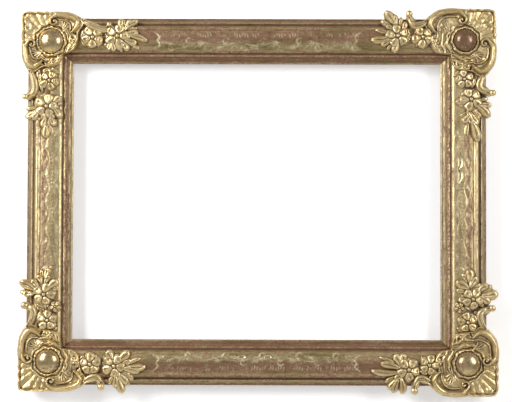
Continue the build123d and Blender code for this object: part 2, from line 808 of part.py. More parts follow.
def build_ring(place):
    """Build one D-ring hanging down: a bow of square wire with a round bar across its top."""
    middle = FRONT.offset(-ring_axis_height).from_local_coords(place)
    bar = strap_width / 2 + lying_play
    with BuildPart() as ring:
        with BuildSketch(Plane(origin=middle, x_dir=(1, 0, 0), z_dir=FORWARD)):
            add(draw_loop(ring_wire_radius))
            add(draw_loop(-ring_wire_radius), mode=Mode.SUBTRACT)
            Rectangle(2 * bar, 2 * ring_wire_radius, mode=Mode.SUBTRACT)
        extrude(amount=ring_wire_radius, both=True)
        with BuildSketch(Plane(origin=middle, x_dir=(0, 0, 1), z_dir=(1, 0, 0))):
            Circle(ring_wire_radius)
        extrude(amount=bar, both=True)
    return ring.part


os.makedirs("parts", exist_ok=True)

# Rails and their keys
top_moulding = build_moulding(Vector(0, 0, -1), outer_height / 2, outer_width / 2)
left_moulding = build_moulding(Vector(1, 0, 0), outer_width / 2, outer_height / 2)
write_part("top_rail", build_rail(top_moulding, ("top_left", "top_right")))
write_part("bottom_rail", build_rail(top_moulding.mirror(Plane.XY), ("bottom_left", "bottom_right")))
write_part("left_rail", build_rail(left_moulding, ("top_left", "bottom_left")))
write_part("right_rail", build_rail(left_moulding.mirror(Plane.YZ), ("top_right", "bottom_right")))
for corner in corner_shares:
    with BuildPart() as key:
        with BuildSketch(FRONT):
            add(draw_key(corner, 0))
        extrude(amount=key_depth)
    write_part(f"{corner}_mitre_key", key.part)

# Carved work
cartouches = {corner: build_cartouche(corner) for corner in corner_shares}
sprays = {}
bosses = []
for corner in corner_shares:
    write_part(f"{corner}_cartouche", turn_to_corner(corner, cartouches[corner]))
    bosses.append(turn_to_corner(corner, build_boss(corner)))
    for run in ("level", "upright"):
        sprays[f"{corner}_{run}"] = build_spray(corner, run)
        write_part(f"{corner}_{run}_spray", turn_to_corner(corner, sprays[f"{corner}_{run}"]))
        write_part(f"{corner}_{run}_curled_leaf", turn_to_corner(corner, build_curl(corner, run)))
write_part("corner_bosses", Part(children=bosses))

# Hardware on the back
for name, (pivot, lie) in button_places().items():
    write_part(name, build_button(pivot, lie))
write_part("button_screws", build_screws([pivot for pivot, _ in button_places().values()], button_head_height))
for side, place in hanger_places().items():
    write_part(f"{side}_hanger_strap", build_strap(place))
    write_part(f"{side}_hanger_ring", build_ring(place))
write_part("hanger_screws", build_screws(strap_screw_places(), strap_thickness))
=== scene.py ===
"""Looks of a carved and gilded picture frame with cartouche corners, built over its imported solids.

The frame hangs upright and faces -Y, with its back in the plane Y = 0. Carved work is shaped in
millimetres at one corner: u runs along the level rail away from the corner, v along the upright rail and
h forwards from the wall. Each corner's matrix then takes it to its place in metres.
"""

import logging
from bisect import bisect
from dataclasses import dataclass, field
from enum import Enum
from math import atan2, cos, exp, pi, radians, sin

import bmesh
import bpy
from mathutils import Matrix, Vector, noise
from mathutils.bvhtree import BVHTree
from mathutils.kdtree import KDTree


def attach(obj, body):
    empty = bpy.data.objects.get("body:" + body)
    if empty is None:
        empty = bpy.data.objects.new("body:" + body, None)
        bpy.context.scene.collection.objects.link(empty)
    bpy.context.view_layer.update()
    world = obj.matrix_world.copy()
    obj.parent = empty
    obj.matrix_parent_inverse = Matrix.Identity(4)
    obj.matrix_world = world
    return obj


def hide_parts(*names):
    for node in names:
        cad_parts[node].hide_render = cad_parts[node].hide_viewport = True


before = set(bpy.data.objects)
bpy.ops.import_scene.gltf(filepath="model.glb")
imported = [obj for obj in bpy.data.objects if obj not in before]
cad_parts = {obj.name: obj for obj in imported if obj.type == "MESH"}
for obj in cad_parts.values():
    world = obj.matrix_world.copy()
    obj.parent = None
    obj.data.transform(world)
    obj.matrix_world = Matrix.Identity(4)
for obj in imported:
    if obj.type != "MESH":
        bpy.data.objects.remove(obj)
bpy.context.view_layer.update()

LOG = logging.getLogger("gilded_frame")
MM = 0.001
RAIL = 74.0
OUTER_WIDTH = 747.0
OUTER_HEIGHT = 597.0
# Paler gold, for random pale patches of leaf and for the painted highlight on crests.
PALE_GOLD_AND_SHEEN = (0.78, 0.66, 0.42, 1)
LAP_BROWN = (0.14, 0.07, 0.035, 1)


class Run(Enum):
    """The two rails that meet at a corner."""

    LEVEL = "level"
    UPRIGHT = "upright"

    def spot(self, along: float, across: float) -> Vector:
        """Return the place (u, v) in millimetres that lies these shares of the rail's width away.

        Args:
            along: distance from the corner along this rail.
            across: distance in from the rail's outer edge.

        Returns:
            The place as a two-part vector.
        """
        if self is Run.LEVEL:
            return Vector((along * RAIL, across * RAIL))
        return Vector((across * RAIL, along * RAIL))


class Corner(Enum):
    """The four corners, each with its side (1 is left) and its level (1 is top)."""

    TOP_LEFT = ("top_left", 1, 1)
    TOP_RIGHT = ("top_right", -1, 1)
    BOTTOM_LEFT = ("bottom_left", 1, -1)
    BOTTOM_RIGHT = ("bottom_right", -1, -1)

    @property
    def label(self) -> str:
        """Return the corner's name in the model."""
        return self.value[0]

    def to_frame(self) -> Matrix:
        """Return the matrix from carving space in millimetres to the frame in metres."""
        _, side, level = self.value
        return Matrix((
            (side * MM, 0, 0, -side * OUTER_WIDTH / 2 * MM),
            (0, 0, -MM, 0),
            (0, -level * MM, 0, level * OUTER_HEIGHT / 2 * MM),
            (0, 0, 0, 1),
        ))


def swell(offset: float, width: float) -> float:
    """Return a bell's height: 1 at its middle, 0.37 one width away from it and near 0 beyond two."""
    return exp(-(offset / width) ** 2)


def bezier(points: list[Vector], share: float) -> Vector:
    """Return the place at a share of the way along a smooth line led by these points."""
    while len(points) > 1:
        points = [start.lerp(end, share) for start, end in zip(points, points[1:])]
    return points[0]


def rounded_path(points: list[Vector], steps: int) -> list[Vector]:
    """Return places along a smooth line through the given points.

    Args:
        points: the places that the line passes through.
        steps: how many places to give between two neighbours.

    Returns:
        The places in order, with both ends.
    """
    padded = [2 * points[0] - points[1], *points, 2 * points[-1] - points[-2]]
    path = []
    for before, start, end, after in zip(padded, padded[1:], padded[2:], padded[3:]):
        for step in range(steps):
            s = step / steps
            path.append(0.5 * (
                2 * start + (end - before) * s + (2 * before - 5 * start + 4 * end - after) * s ** 2
                + (3 * start - before - 3 * end + after) * s ** 3
            ))
    return [*path, points[-1]]


class Strokes:
    """Ridges and grooves drawn with a tool over a carved ground."""

    curve_steps = 6

    def __init__(self, spacing: float = 0.9) -> None:
        """Start with no strokes.

        Args:
            spacing: how close together the places of a stroke lie, in millimetres.
        """
        self.spacing = spacing
        self.marks: list[tuple[Vector, float, float, float]] = []
        self.tree: KDTree | None = None
        self.widest = 0.0

    def draw(self, points: list[Vector], widths: list[float], crown: float, drop: float = 3.0) -> None:
        """Draw one stroke through places.

        Args:
            points: the places it passes through.
            widths: its half widths at even shares of its length.
            crown: height of its top, or its depth as a negative number for a groove.
            drop: how far it falls from its middle to its sides.
        """
        path = rounded_path(points, self.curve_steps) if len(points) > 2 else points
        length = sum((end - start).length for start, end in zip(path, path[1:]))
        done = 0.0
        for start, end in zip(path, path[1:]):
            run = (end - start).length
            count = max(1, round(run / self.spacing))
            for step in range(count):
                share = (done + run * step / count) / max(length, 0.001) * (len(widths) - 1)
                index = min(int(share), len(widths) - 2)
                half = widths[index] + (widths[index + 1] - widths[index]) * (share - index)
                self.marks.append((start.lerp(end, step / count), half, crown, drop))
                self.widest = max(self.widest, half)
            done += run

    def settle(self) -> None:
        """Sort the strokes, once they are all drawn."""
        self.tree = KDTree(len(self.marks))
        for index, (place, *_) in enumerate(self.marks):
            self.tree.insert((place.x, place.y, 0), index)
        self.tree.balance()

    def carve(self, u: float, v: float, height: float) -> float:
        """Return a height after the strokes over one place have been carved.

        Args:
            u: the place's first coordinate.
            v: its second coordinate.
            height: height of the ground there.

        Returns:
            The height with the highest ridge and the deepest groove there.
        """
        top, deep = height, 0.0
        for _, index, distance in self.tree.find_range((u, v, 0), self.widest):
            _, half, crown, drop = self.marks[index]
            share = distance / half
            if share >= 1:
                continue
            if crown < 0:
                deep = min(deep, crown * (1 - share * share))
            else:
                top = max(top, crown - drop * share * share)
        return top + deep


class Carving:
    """Carved work at one corner, gathered in one mesh."""

    # Painted light: carving at the left corners gets a higher tone than at the right, so it renders lighter,
    # as if lit more from the left.
    left_painted_light = 0.45
    right_painted_light = 0.10
    leaf_columns = 8
    root_width = 0.30
    lobe_depth = 0.20
    vein_width = 0.20
    dish_place = 0.66
    dish_width = 0.55
    dish_length = 0.24
    ridge_sides = 10
    wobble_pitch = 0.11
    wobble = (0.5, 0.5, 0.35)

    def __init__(self) -> None:
        """Start with an empty mesh."""
        self.mesh = bmesh.new()

    def close_skirt(self, top: list[bmesh.types.BMVert], floor: float) -> None:
        """Draw the open edge of a shaped sheet down to a floor and close it underneath."""
        inside = set(top)
        edge = [e for v in top for e in v.link_edges if e.is_boundary and e.other_vert(v) in inside]
        skirt = bmesh.ops.extrude_edge_only(self.mesh, edges=list(set(edge)))["geom"]
        for vert in (part for part in skirt if isinstance(part, bmesh.types.BMVert)):
            vert.co.z = floor
        rim = [part for part in skirt if isinstance(part, bmesh.types.BMEdge) and part.is_boundary]
        bmesh.ops.holes_fill(self.mesh, edges=rim, sides=0)

    def leaf(self, spine: list[Vector], width: float, base: float, crown: float, floor: float,
             vein: float = 0.8, lobes: int = 0, tip: float = 0.0, broad: float = 0.5,
             rise: float = 0.0, cup: float = 0.0, skew: float = 0.0) -> None:
        """Carve one leaf or petal along a spine.

        Args:
            spine: places that lead the leaf's middle line from root to tip.
            width: the leaf's greatest width.
            base: height of the leaf's edge.
            crown: height of the leaf's middle.
            floor: height of its underside.
            vein: depth of the groove down its middle.
            lobes: how many notched lobes each side has.
            tip: width share that the tip keeps, 0 for a point.
            broad: share of the length at which it is broadest.
            rise: how much higher the tip lies than the root.
            cup: depth of a dish near its tip.
            skew: how much higher its left edge lies than its right one.
        """
        rows = 11 if lobes == 0 else 5 * lobes + 3
        grid = bmesh.ops.create_grid(self.mesh, x_segments=self.leaf_columns, y_segments=rows,
                                     size=0.5)["verts"]
        for vert in grid:
            share = vert.co.y + 0.5
            side = 2 * vert.co.x
            place = bezier(spine, share)
            near, far = (bezier(spine, min(max(share + step, 0), 1)) for step in (-0.02, 0.02))
            ahead = (far - near).normalized()
            aside = Vector((-ahead.y, ahead.x))
            if share < broad:
                half = self.root_width + (1 - self.root_width) * sin(pi / 2 * share / broad)
            else:
                half = tip + (1 - tip) * max(cos(pi / 2 * (share - broad) / (1 - broad)), 0) ** 0.8
            if lobes:
                half *= 1 - self.lobe_depth * (1 - abs(sin(pi * lobes * share + 0.6)))
            half *= width / 2
            body = 1 - abs(side) ** 2.6
            end = min(1.0, (1 - share) * 5) ** 0.5 * min(1.0, 0.4 + share * 4)
            height = base + (crown - base) * body * (0.35 + 0.65 * end)
            height -= vein * swell(side, self.vein_width) * (1 - share ** 4)
            height -= cup * swell(side, self.dish_width) * swell(share - self.dish_place, self.dish_length)
            height += rise * share + skew * side
            vert.co = (place.x + aside.x * side * half, place.y + aside.y * side * half, height)
        self.close_skirt(grid, floor)

    def ridge(self, path: list[Vector], widths: list[float], crown: float, sink: float) -> None:
        """Carve a rounded ridge along a path.

        Args:
            path: places of its middle line.
            widths: its width at the start, the middle and the end.
            crown: height of its top.
            sink: how far below its top its middle lies, as a share of its width.
        """
        ring = bmesh.ops.create_circle(self.mesh, segments=self.ridge_sides, radius=1.0,
                                       cap_ends=False)["verts"]
        edges = list({edge for vert in ring for edge in vert.link_edges})
        last = len(path) - 1
        start, middle, end = widths
        for index, place in enumerate(path):
            share = index / last
            width = start + (middle - start) * min(share * 2, 1)
            width += (end - middle) * max(share * 2 - 1, 0)
            ahead = (path[min(index + 1, last)] - path[max(index - 1, 0)]).normalized()
            aside = Vector((-ahead.y, ahead.x))
            if index:
                grown = bmesh.ops.extrude_edge_only(self.mesh, edges=edges)["geom"]
                fresh = {part for part in grown if isinstance(part, bmesh.types.BMVert)}
                edges = [
                    part for part in grown if isinstance(part, bmesh.types.BMEdge) and part.is_boundary
                ]
                ring = [
                    next(edge.other_vert(vert) for edge in vert.link_edges if edge.other_vert(vert) in fresh)
                    for vert in ring
                ]
            for step, vert in enumerate(ring):
                turn = 2 * pi * step / self.ridge_sides
                out = cos(turn) * width / 2
                height = crown + (sin(turn) - 1) * sink * width
                vert.co = (place.x + aside.x * out, place.y + aside.y * out, height)
        ends = [edge for edge in self.mesh.edges if edge.is_boundary]
        bmesh.ops.holes_fill(self.mesh, edges=ends, sides=0)

    def ball(self, place: Vector, radius: float, crown: float, flat: float = 0.6) -> None:
        """Carve a low round knob with its top at a height."""
        middle = Matrix.Translation((place.x, place.y, crown - radius * flat))
        shape = middle @ Matrix.Diagonal((radius, radius, radius * flat, 1))
        bmesh.ops.create_uvsphere(self.mesh, u_segments=14, v_segments=8, radius=1.0, matrix=shape)

    def finish(self, name: str, corner: Corner, material: bpy.types.Material,
               nodes: list[str], levels: int = 1) -> bpy.types.Object:
        """Take the carving to its corner and make it a piece of the frame.

        Args:
            name: the piece's name.
            corner: the corner it belongs to.
            material: its finish.
            nodes: the solids that it stands for.
            levels: how often its surface is subdivided.

        Returns:
            The finished object.
        """
        _, side, level = corner.value
        shift = Vector((side * 40, level * 60, 0))
        for vert in self.mesh.verts:
            drift = noise.noise_vector(vert.co * self.wobble_pitch + shift)
            vert.co += Vector([part * size for part, size in zip(drift, self.wobble)])
        # Painted light: the left corners' carving is given a lighter tone than the right ones'.
        fill_layer(self.mesh, "tone", self.left_painted_light if side > 0 else self.right_painted_light)
        bmesh.ops.transform(self.mesh, matrix=corner.to_frame(), verts=self.mesh.verts[:])
        return finish_mesh(self.mesh, name, material, nodes, levels)


def fill_layer(mesh: bmesh.types.BMesh, label: str, amount: float) -> None:
    """Give every vertex of a mesh the same amount of one attribute."""
    layer = mesh.verts.layers.float.new(label)
    for vert in mesh.verts:
        vert[layer] = amount


def new_object(mesh: bmesh.types.BMesh, name: str, material: bpy.types.Material) -> bpy.types.Object:
    """Turn a bmesh into an object of the scene and free it.

    Args:
        mesh: the shaped mesh, in metres and in its place.
        name: the object's name.
        material: its finish.

    Returns:
        The object.
    """
    data = bpy.data.meshes.new(name)
    mesh.to_mesh(data)
    mesh.free()
    data.materials.append(material)
    made = bpy.data.objects.new(name, data)
    bpy.context.scene.collection.objects.link(made)
    return made


def finish_mesh(mesh: bmesh.types.BMesh, name: str, material: bpy.types.Material,
                nodes: list[str], levels: int = 0, body: str = "frame") -> bpy.types.Object:
    """Turn a finished bmesh into a piece that rides on a body.

    Args:
        mesh: the shaped mesh, in metres and in its place.
        name: the piece's name.
        material: its finish.
        nodes: the solids that it stands for.
        levels: how often its surface is subdivided.
        body: the body that it moves with.

    Returns:
        The finished object.
    """
    bmesh.ops.recalc_face_normals(mesh, faces=mesh.faces[:])
    for face in mesh.faces:
        face.smooth = True
    piece = new_object(mesh, name, material)
    if levels:
        smooth = piece.modifiers.new("round", "SUBSURF")
        smooth.levels = levels
        smooth.render_levels = levels
    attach(piece, body)
    if nodes:
        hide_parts(*nodes)
    LOG.info("%s: %d faces", name, len(piece.data.polygons))
    return piece


@dataclass
class OpennessAndCrest:
    """Finds how open and how sharp each place of the gilded work lies, for its wear, its dirt and the shade
    and highlights painted into its colour.
    """

    pieces: list[bpy.types.Object]
    reach: float = 0.014
    lift: float = 0.0003
    sharpness: float = 0.9
    rings: tuple[tuple[float, int], ...] = ((0.0, 1), (38.0, 3), (64.0, 5))

    def rays(self) -> list[Vector]:
        """Return the directions looked in, about straight up."""
        rays = []
        for lean, count in self.rings:
            out, up = sin(radians(lean)), cos(radians(lean))
            for step in range(count):
                turn = 2 * pi * step / count
                rays.append(Vector((out * cos(turn), out * sin(turn), up)))
        return rays

    def crest(self, vert: bmesh.types.BMVert) -> float:
        """Return how far a vertex stands proud of its neighbours: 1 on a crest, 0 in a crease."""
        bend = 0.0
        for edge in vert.link_edges:
            away = edge.other_vert(vert).co - vert.co
            bend -= away.normalized().dot(vert.normal)
        bend /= max(len(vert.link_edges), 1)
        return min(1.0, max(0.0, 0.5 + self.sharpness * bend))

    def lay(self) -> None:
        """Write every vertex's share of open sky as "open" and its crest as "crest"."""
        whole = bmesh.new()
        for piece in self.pieces:
            whole.from_mesh(piece.data)
        tree = BVHTree.FromBMesh(whole)
        whole.free()
        rays = self.rays()
        for piece in self.pieces:
            mesh = bmesh.new()
            mesh.from_mesh(piece.data)
            opening = mesh.verts.layers.float.new("open")
            crest = mesh.verts.layers.float.new("crest")
            for vert in mesh.verts:
                turn = Vector((0, 0, 1)).rotation_difference(vert.normal)
                start = vert.co + vert.normal * self.lift
                free = 0.0
                for ray in rays:
                    distance = tree.ray_cast(start, turn @ ray, self.reach)[3]
                    free += 1.0 if distance is None else distance / self.reach
                vert[opening] = free / len(rays)
                vert[crest] = self.crest(vert)
            mesh.to_mesh(piece.data)
            mesh.free()
            LOG.info("%s: openness and crest laid", piece.name)


class Sheet:
    """A node tree with short ways to add nodes, for materials and node groups."""

    def __init__(self, tree: bpy.types.NodeTree) -> None:
        """Keep the tree that nodes are added to."""
        self.tree = tree

    def add(self, kind: str, values: dict[str, object] | None = None, **settings: object) -> bpy.types.Node:
        """Add a node.

        Args:
            kind: the node's type.
            values: what goes into its inputs: a number, a colour or another node's output.
            settings: its own properties.

        Returns:
            The node.
        """
        node = self.tree.nodes.new(kind)
        for key, value in settings.items():
            setattr(node, key, value)
        self.fill(node, values or {})
        return node

    def fill(self, node: bpy.types.Node, values: dict[str, object]) -> None:
        """Put a number, a colour or another node's output into each named input of a node."""
        for key, value in values.items():
            if isinstance(value, bpy.types.NodeSocket):
                self.tree.links.new(value, node.inputs[key])
            else:
                node.inputs[key].default_value = value

    def math(self, operation: str, first: object, second: object = 0.0) -> bpy.types.NodeSocket:
        """Return the result of one sum on two values."""
        return self.add("ShaderNodeMath", {0: first, 1: second}, operation=operation).outputs[0]

    def plus(self, base: object, value: object, share: float) -> bpy.types.NodeSocket:
        """Return a base with a share of another value added."""
        return self.math("ADD", base, self.math("MULTIPLY", value, share))

    def attribute(self, name: str) -> bpy.types.NodeSocket:
        """Return an attribute that the mesh holds for each vertex."""
        return self.add("ShaderNodeAttribute", attribute_name=name).outputs["Fac"]

    def stretch(self, place: object, scale: tuple[float, float, float],
                turn: tuple[float, float, float] = (0, 0, 0)) -> bpy.types.NodeSocket:
        """Return a position turned and stretched about the origin."""
        values = {"Vector": place, "Rotation": turn, "Scale": scale}
        return self.add("ShaderNodeMapping", values).outputs[0]

    def bump(self, height: object, distance: float, strength: float = 1.0) -> bpy.types.NodeSocket:
        """Return a normal bent by a height."""
        values = {"Strength": strength, "Distance": distance, "Height": height}
        return self.add("ShaderNodeBump", values).outputs["Normal"]

    def noise(self, position: object, scale: float, detail: float = 4.0, distortion: float = 0.0,
              roughness: float = 0.55) -> bpy.types.NodeSocket:
        """Return a noise over a position."""
        values = {"Vector": position, "Scale": scale, "Detail": detail, "Distortion": distortion,
                  "Roughness": roughness}
        return self.add("ShaderNodeTexNoise", values).outputs["Fac"]

    def steps(self, value: object, low: float, high: float, start: float = 0.0,
              end: float = 1.0) -> bpy.types.NodeSocket:
        """Return a value that goes smoothly from start to end as another goes from low to high."""
        node = self.add("ShaderNodeMapRange", {
            "Value": value, "From Min": low, "From Max": high, "To Min": start, "To Max": end,
        }, interpolation_type="SMOOTHSTEP")
        return node.outputs["Result"]

    def blend(self, share: object, first: object, second: object, mode: str = "MIX") -> bpy.types.NodeSocket:
        """Return a mix of two colours."""
        values = {0: share, 6: first, 7: second}
        return self.add("ShaderNodeMix", values, data_type="RGBA", blend_type=mode).outputs[2]


def new_material(name: str) -> tuple[bpy.types.Material, Sheet, bpy.types.Node]:
    """Start a material.

    Args:
        name: the material's name.

    Returns:
        The material, its node tree and its shader.
    """
    material = bpy.data.materials.new(name)
    material.use_nodes = True
    return material, Sheet(material.node_tree), material.node_tree.nodes["Principled BSDF"]


def new_group(name: str, inputs: list[tuple[str, str, object]], outputs: list[tuple[str, str]]) -> Sheet:
    """Start a shader node group.

    Args:
        name: the group's name.
        inputs: each input's name, socket type and default.
        outputs: each output's name and socket type.

    Returns:
        The group's tree with its input and output nodes named "in" and "out".
    """
    tree = bpy.data.node_groups.new(name, "ShaderNodeTree")
    for label, kind, default in inputs:
        socket = tree.interface.new_socket(label, in_out="INPUT", socket_type=kind)
        if default is not None:
            socket.default_value = default
    for label, kind in outputs:
        tree.interface.new_socket(label, in_out="OUTPUT", socket_type=kind)
    tree.nodes.new("NodeGroupInput").name = "in"
    tree.nodes.new("NodeGroupOutput").name = "out"
    return Sheet(tree)


def leaf_wear_and_light_group() -> bpy.types.NodeTree:
    """Build the group for gold leaf rubbed down to its bole and soiled, with painted shade in its hollows and
    creases and painted highlights on its crests.

    Returns:
        The node group. It gives the colour, how far the surface is metal, its roughness and its height.
    """
    sheet = new_group(
        "rubbed leaf and painted light",
        [
            ("Position", "NodeSocketVector", None),
            ("Streaks", "NodeSocketVector", None),
            ("Open", "NodeSocketFloat", 1.0),
            ("Crest", "NodeSocketFloat", 0.5),
            ("Rub", "NodeSocketFloat", 0.0),
            ("Tone", "NodeSocketFloat", 0.0),
            ("Leaf", "NodeSocketColor", (0.6, 0.45, 0.2, 1)),
            ("Bole", "NodeSocketColor", (0.2, 0.07, 0.04, 1)),
            ("Grime and shade", "NodeSocketColor", (0.06, 0.04, 0.02, 1)),
            ("Rubbed", "NodeSocketFloat", 0.3),
            ("Dirt and shade", "NodeSocketFloat", 0.5),
        ],
        [
            ("Color", "NodeSocketColor"),
            ("Metal", "NodeSocketFloat"),
            ("Roughness", "NodeSocketFloat"),
            ("Height", "NodeSocketFloat"),
        ],
    )
    given = sheet.tree.nodes["in"].outputs
    broad = sheet.noise(given["Streaks"], 16.0, 5.0, 0.5, 0.6)
    patch = sheet.noise(given["Streaks"], 60.0, 5.0, 0.8, 0.65)
    fine = sheet.noise(given["Position"], 260.0, 4.0, 0.4, 0.6)
    grain = sheet.noise(given["Position"], 1100.0, 2.0)
    mottle = sheet.plus(sheet.math("MULTIPLY", broad, 0.5), patch, 0.5)
    wear = sheet.plus(sheet.math("MULTIPLY", mottle, 0.72), fine, 0.28)
    wear = sheet.plus(wear, sheet.steps(given["Crest"], 0.52, 0.85), 0.07)
    wear = sheet.plus(wear, given["Rub"], 0.16)
    limit = sheet.plus(0.70, given["Rubbed"], -0.20)
    rubbed = sheet.steps(sheet.math("SUBTRACT", wear, limit), -0.05, 0.10)
    rubbed = sheet.math("MULTIPLY", rubbed, sheet.steps(fine, 0.32, 0.58, 0.25, 0.92))
    # Dirt in the hollows together with painted shade: places that see little sky and creases are darkened
    # towards the grime colour, patches and specks of real dirt are added, and a higher tone, which is mostly
    # painted light, takes some away.
    hollow = sheet.steps(given["Open"], 0.34, 0.90, 1.0, 0.0)
    crease = sheet.steps(given["Crest"], 0.22, 0.475, 0.85, 0.0)
    soiled_and_shaded = sheet.math("MULTIPLY", sheet.math("MAXIMUM", hollow, crease), given["Dirt and shade"])
    soiled_and_shaded = sheet.plus(soiled_and_shaded, sheet.steps(patch, 0.40, 0.68), 0.34)
    soiled_and_shaded = sheet.plus(soiled_and_shaded, sheet.steps(grain, 0.60, 0.80), 0.30)
    soiled_and_shaded = sheet.plus(soiled_and_shaded, given["Tone"], -0.45)
    soiled_and_shaded = sheet.add("ShaderNodeClamp", {"Value": soiled_and_shaded, "Max": 0.94}).outputs[0]
    # Painted light: the leaf is made lighter on crests and darker in creases, and lighter or darker with the
    # tone attribute, which holds painted light and shade along with the real tone of the bosses.
    tone = sheet.plus(sheet.steps(fine, 0.3, 0.72, 0.80, 1.14), given["Tone"], 0.22)
    tone = sheet.math("MULTIPLY", tone, sheet.steps(given["Crest"], 0.32, 0.58, 0.46, 1.08))
    leaf = sheet.blend(1.0, given["Leaf"], tone, "MULTIPLY")
    # Random paler patches of leaf, plus a painted highlight of pale gold on the sharpest crests.
    bright = sheet.steps(broad, 0.40, 0.62, 0.0, 0.32)
    bright = sheet.math("ADD", bright, sheet.steps(given["Crest"], 0.54, 0.72, 0.0, 0.35))
    colour = sheet.blend(bright, leaf, PALE_GOLD_AND_SHEEN)
    colour = sheet.blend(rubbed, colour, given["Bole"])
    colour = sheet.blend(soiled_and_shaded, colour, given["Grime and shade"])
    covered = sheet.math("MULTIPLY", sheet.math("MAXIMUM", rubbed, soiled_and_shaded), 0.80)
    rough = sheet.plus(sheet.steps(mottle, 0.36, 0.62, 0.25, 0.42), covered, 0.24)
    height = sheet.plus(sheet.math("MULTIPLY", fine, 0.6), grain, 0.25)
    height = sheet.plus(height, patch, 0.9)
    sheet.fill(sheet.tree.nodes["out"], {
        "Color": colour,
        "Metal": sheet.plus(0.94, covered, -0.95),
        "Roughness": sheet.plus(rough, grain, 0.10),
        "Height": sheet.plus(height, rubbed, -0.15),
    })
    return sheet.tree


class Grain(Enum):
    """The way that the brush and the leaf run: along X, along Z or no way at all."""

    LEVEL = (1.0, 4.5, 4.5)
    UPRIGHT = (4.5, 4.5, 1.0)
    NONE = (1.6, 1.6, 1.6)


@dataclass(frozen=True)
class Gilding:
    """Gold leaf over red bole, worn and soiled, with painted shade in its hollows, painted highlights on
    crests and engraved lines, laps between the leaves and bare wood behind.
    """

    name: str
    leaf: tuple[float, float, float]
    grain: Grain = Grain.NONE
    bole: tuple[float, float, float] = (0.235, 0.095, 0.056)
    # Dark brown for tarnish and dirt, and for the painted shade in hollows and creases.
    grime_and_shade: tuple[float, float, float] = (0.080, 0.043, 0.020)
    wood: tuple[float, float, float] = (0.23, 0.135, 0.065)
    # Pale colour painted along engraved lines as their highlight.
    cut: tuple[float, float, float] = (0.80, 0.69, 0.44)
    rubbed: float = 0.3
    # How far hollows and creases are darkened: real dirt together with painted shade.
    dirt: float = 0.8
    bump: float = 0.0004
    lap: float = 0.081
    gloss: float = 1.0
    tarnish: float = 0.25

    def laps(self, sheet: Sheet, place: bpy.types.NodeSocket) -> bpy.types.NodeSocket:
        """Return the mask of thin lines where one leaf of gold laps over the next."""
        parts = sheet.add("ShaderNodeSeparateXYZ", {0: place}).outputs
        along = parts["X"] if self.grain is Grain.LEVEL else parts["Z"]
        across = parts["Z"] if self.grain is Grain.LEVEL else parts["X"]
        swayed = sheet.plus(along, sheet.noise(place, 30.0, 3.0), 0.012)
        leaning = sheet.plus(swayed, across, 0.05)
        step = sheet.math("FRACT", sheet.math("DIVIDE", leaning, self.lap))
        away = sheet.math("ABSOLUTE", sheet.math("SUBTRACT", step, 0.5))
        line = sheet.steps(away, 0.0, 0.016, 1.0, 0.0)
        return sheet.math("MULTIPLY", line, sheet.steps(sheet.noise(place, 45.0), 0.45, 0.6))

    def build(self, wear: bpy.types.NodeTree) -> bpy.types.Material:
        """Build the material.

        Args:
            wear: the shared group for rubbed leaf, which also paints light and shade.

        Returns:
            The material.
        """
        material, sheet, shader = new_material(self.name)
        place = sheet.add("ShaderNodeTexCoord").outputs["Object"]
        streaks = sheet.stretch(place, self.grain.value)
        worn_and_lit = sheet.add("ShaderNodeGroup", node_tree=wear)
        marks = ("Open", "Crest", "Rub", "Tone")
        sheet.fill(worn_and_lit, {label: sheet.attribute(label.lower()) for label in marks})
        sheet.fill(worn_and_lit, {
            "Position": place, "Streaks": streaks, "Leaf": (*self.leaf, 1), "Bole": (*self.bole, 1),
            "Grime and shade": (*self.grime_and_shade, 1), "Rubbed": self.rubbed, "Dirt and shade": self.dirt,
        })
        colour, metal, rough = (worn_and_lit.outputs[label] for label in ("Color", "Metal", "Roughness"))
        if self.grain is not Grain.NONE:
            lapped = sheet.math("MULTIPLY", self.laps(sheet, place), 0.55)
            colour = sheet.blend(lapped, colour, LAP_BROWN)
            tarnish = sheet.steps(sheet.noise(streaks, 95.0, 6.0, 1.6, 0.7), 0.52, 0.64, 0.0, self.tarnish)
            colour = sheet.blend(tarnish, colour, (*self.grime_and_shade, 1))
            # Painted highlight: engraved lines are drawn in the pale cut colour, broken by noise.
            broken = sheet.steps(sheet.noise(place, 70.0), 0.36, 0.58, 0.1, 0.8)
            line = sheet.math("MULTIPLY", sheet.attribute("line"), broken)
            colour = sheet.blend(line, colour, (*self.cut, 1))
            bare = sheet.attribute("bare")
            fibre = sheet.steps(sheet.noise(streaks, 150.0, 5.0, 1.0), 0.3, 0.7, 0.55, 1.2)
            timber = sheet.blend(1.0, (*self.wood, 1), fibre, "MULTIPLY")
            colour = sheet.blend(bare, colour, timber)
            metal = sheet.math("MULTIPLY", metal, sheet.math("SUBTRACT", 1.0, bare))
            rough = sheet.math("MAXIMUM", rough, sheet.math("MULTIPLY", bare, 0.75))
        sheet.fill(shader, {
            "Base Color": colour,
            "Metallic": metal,
            "Roughness": sheet.math("MULTIPLY", rough, self.gloss),
            "Normal": sheet.bump(worn_and_lit.outputs["Height"], self.bump),
        })
        return material


@dataclass(frozen=True)
class PlainMetal:
    """Dull brass or steel with fine scratches."""

    name: str
    colour: tuple[float, float, float]
    roughness: float = 0.35

    def build(self) -> bpy.types.Material:
        """Build the material."""
        material, sheet, shader = new_material(self.name)
        place = sheet.add("ShaderNodeTexCoord").outputs["Object"]
        cloud = sheet.noise(place, 220.0, 5.0, 1.0)
        scratch = sheet.noise(sheet.stretch(place, (1, 1, 18)), 400.0)
        dark = tuple(part * 0.55 for part in self.colour)
        sheet.fill(shader, {
            "Base Color": sheet.blend(sheet.steps(cloud, 0.35, 0.7), (*self.colour, 1), (*dark, 1)),
            "Metallic": 1.0,
            "Roughness": sheet.steps(cloud, 0.2, 0.8, self.roughness, self.roughness + 0.25),
            "Normal": sheet.bump(scratch, 0.00008, 0.4),
        })
        return material


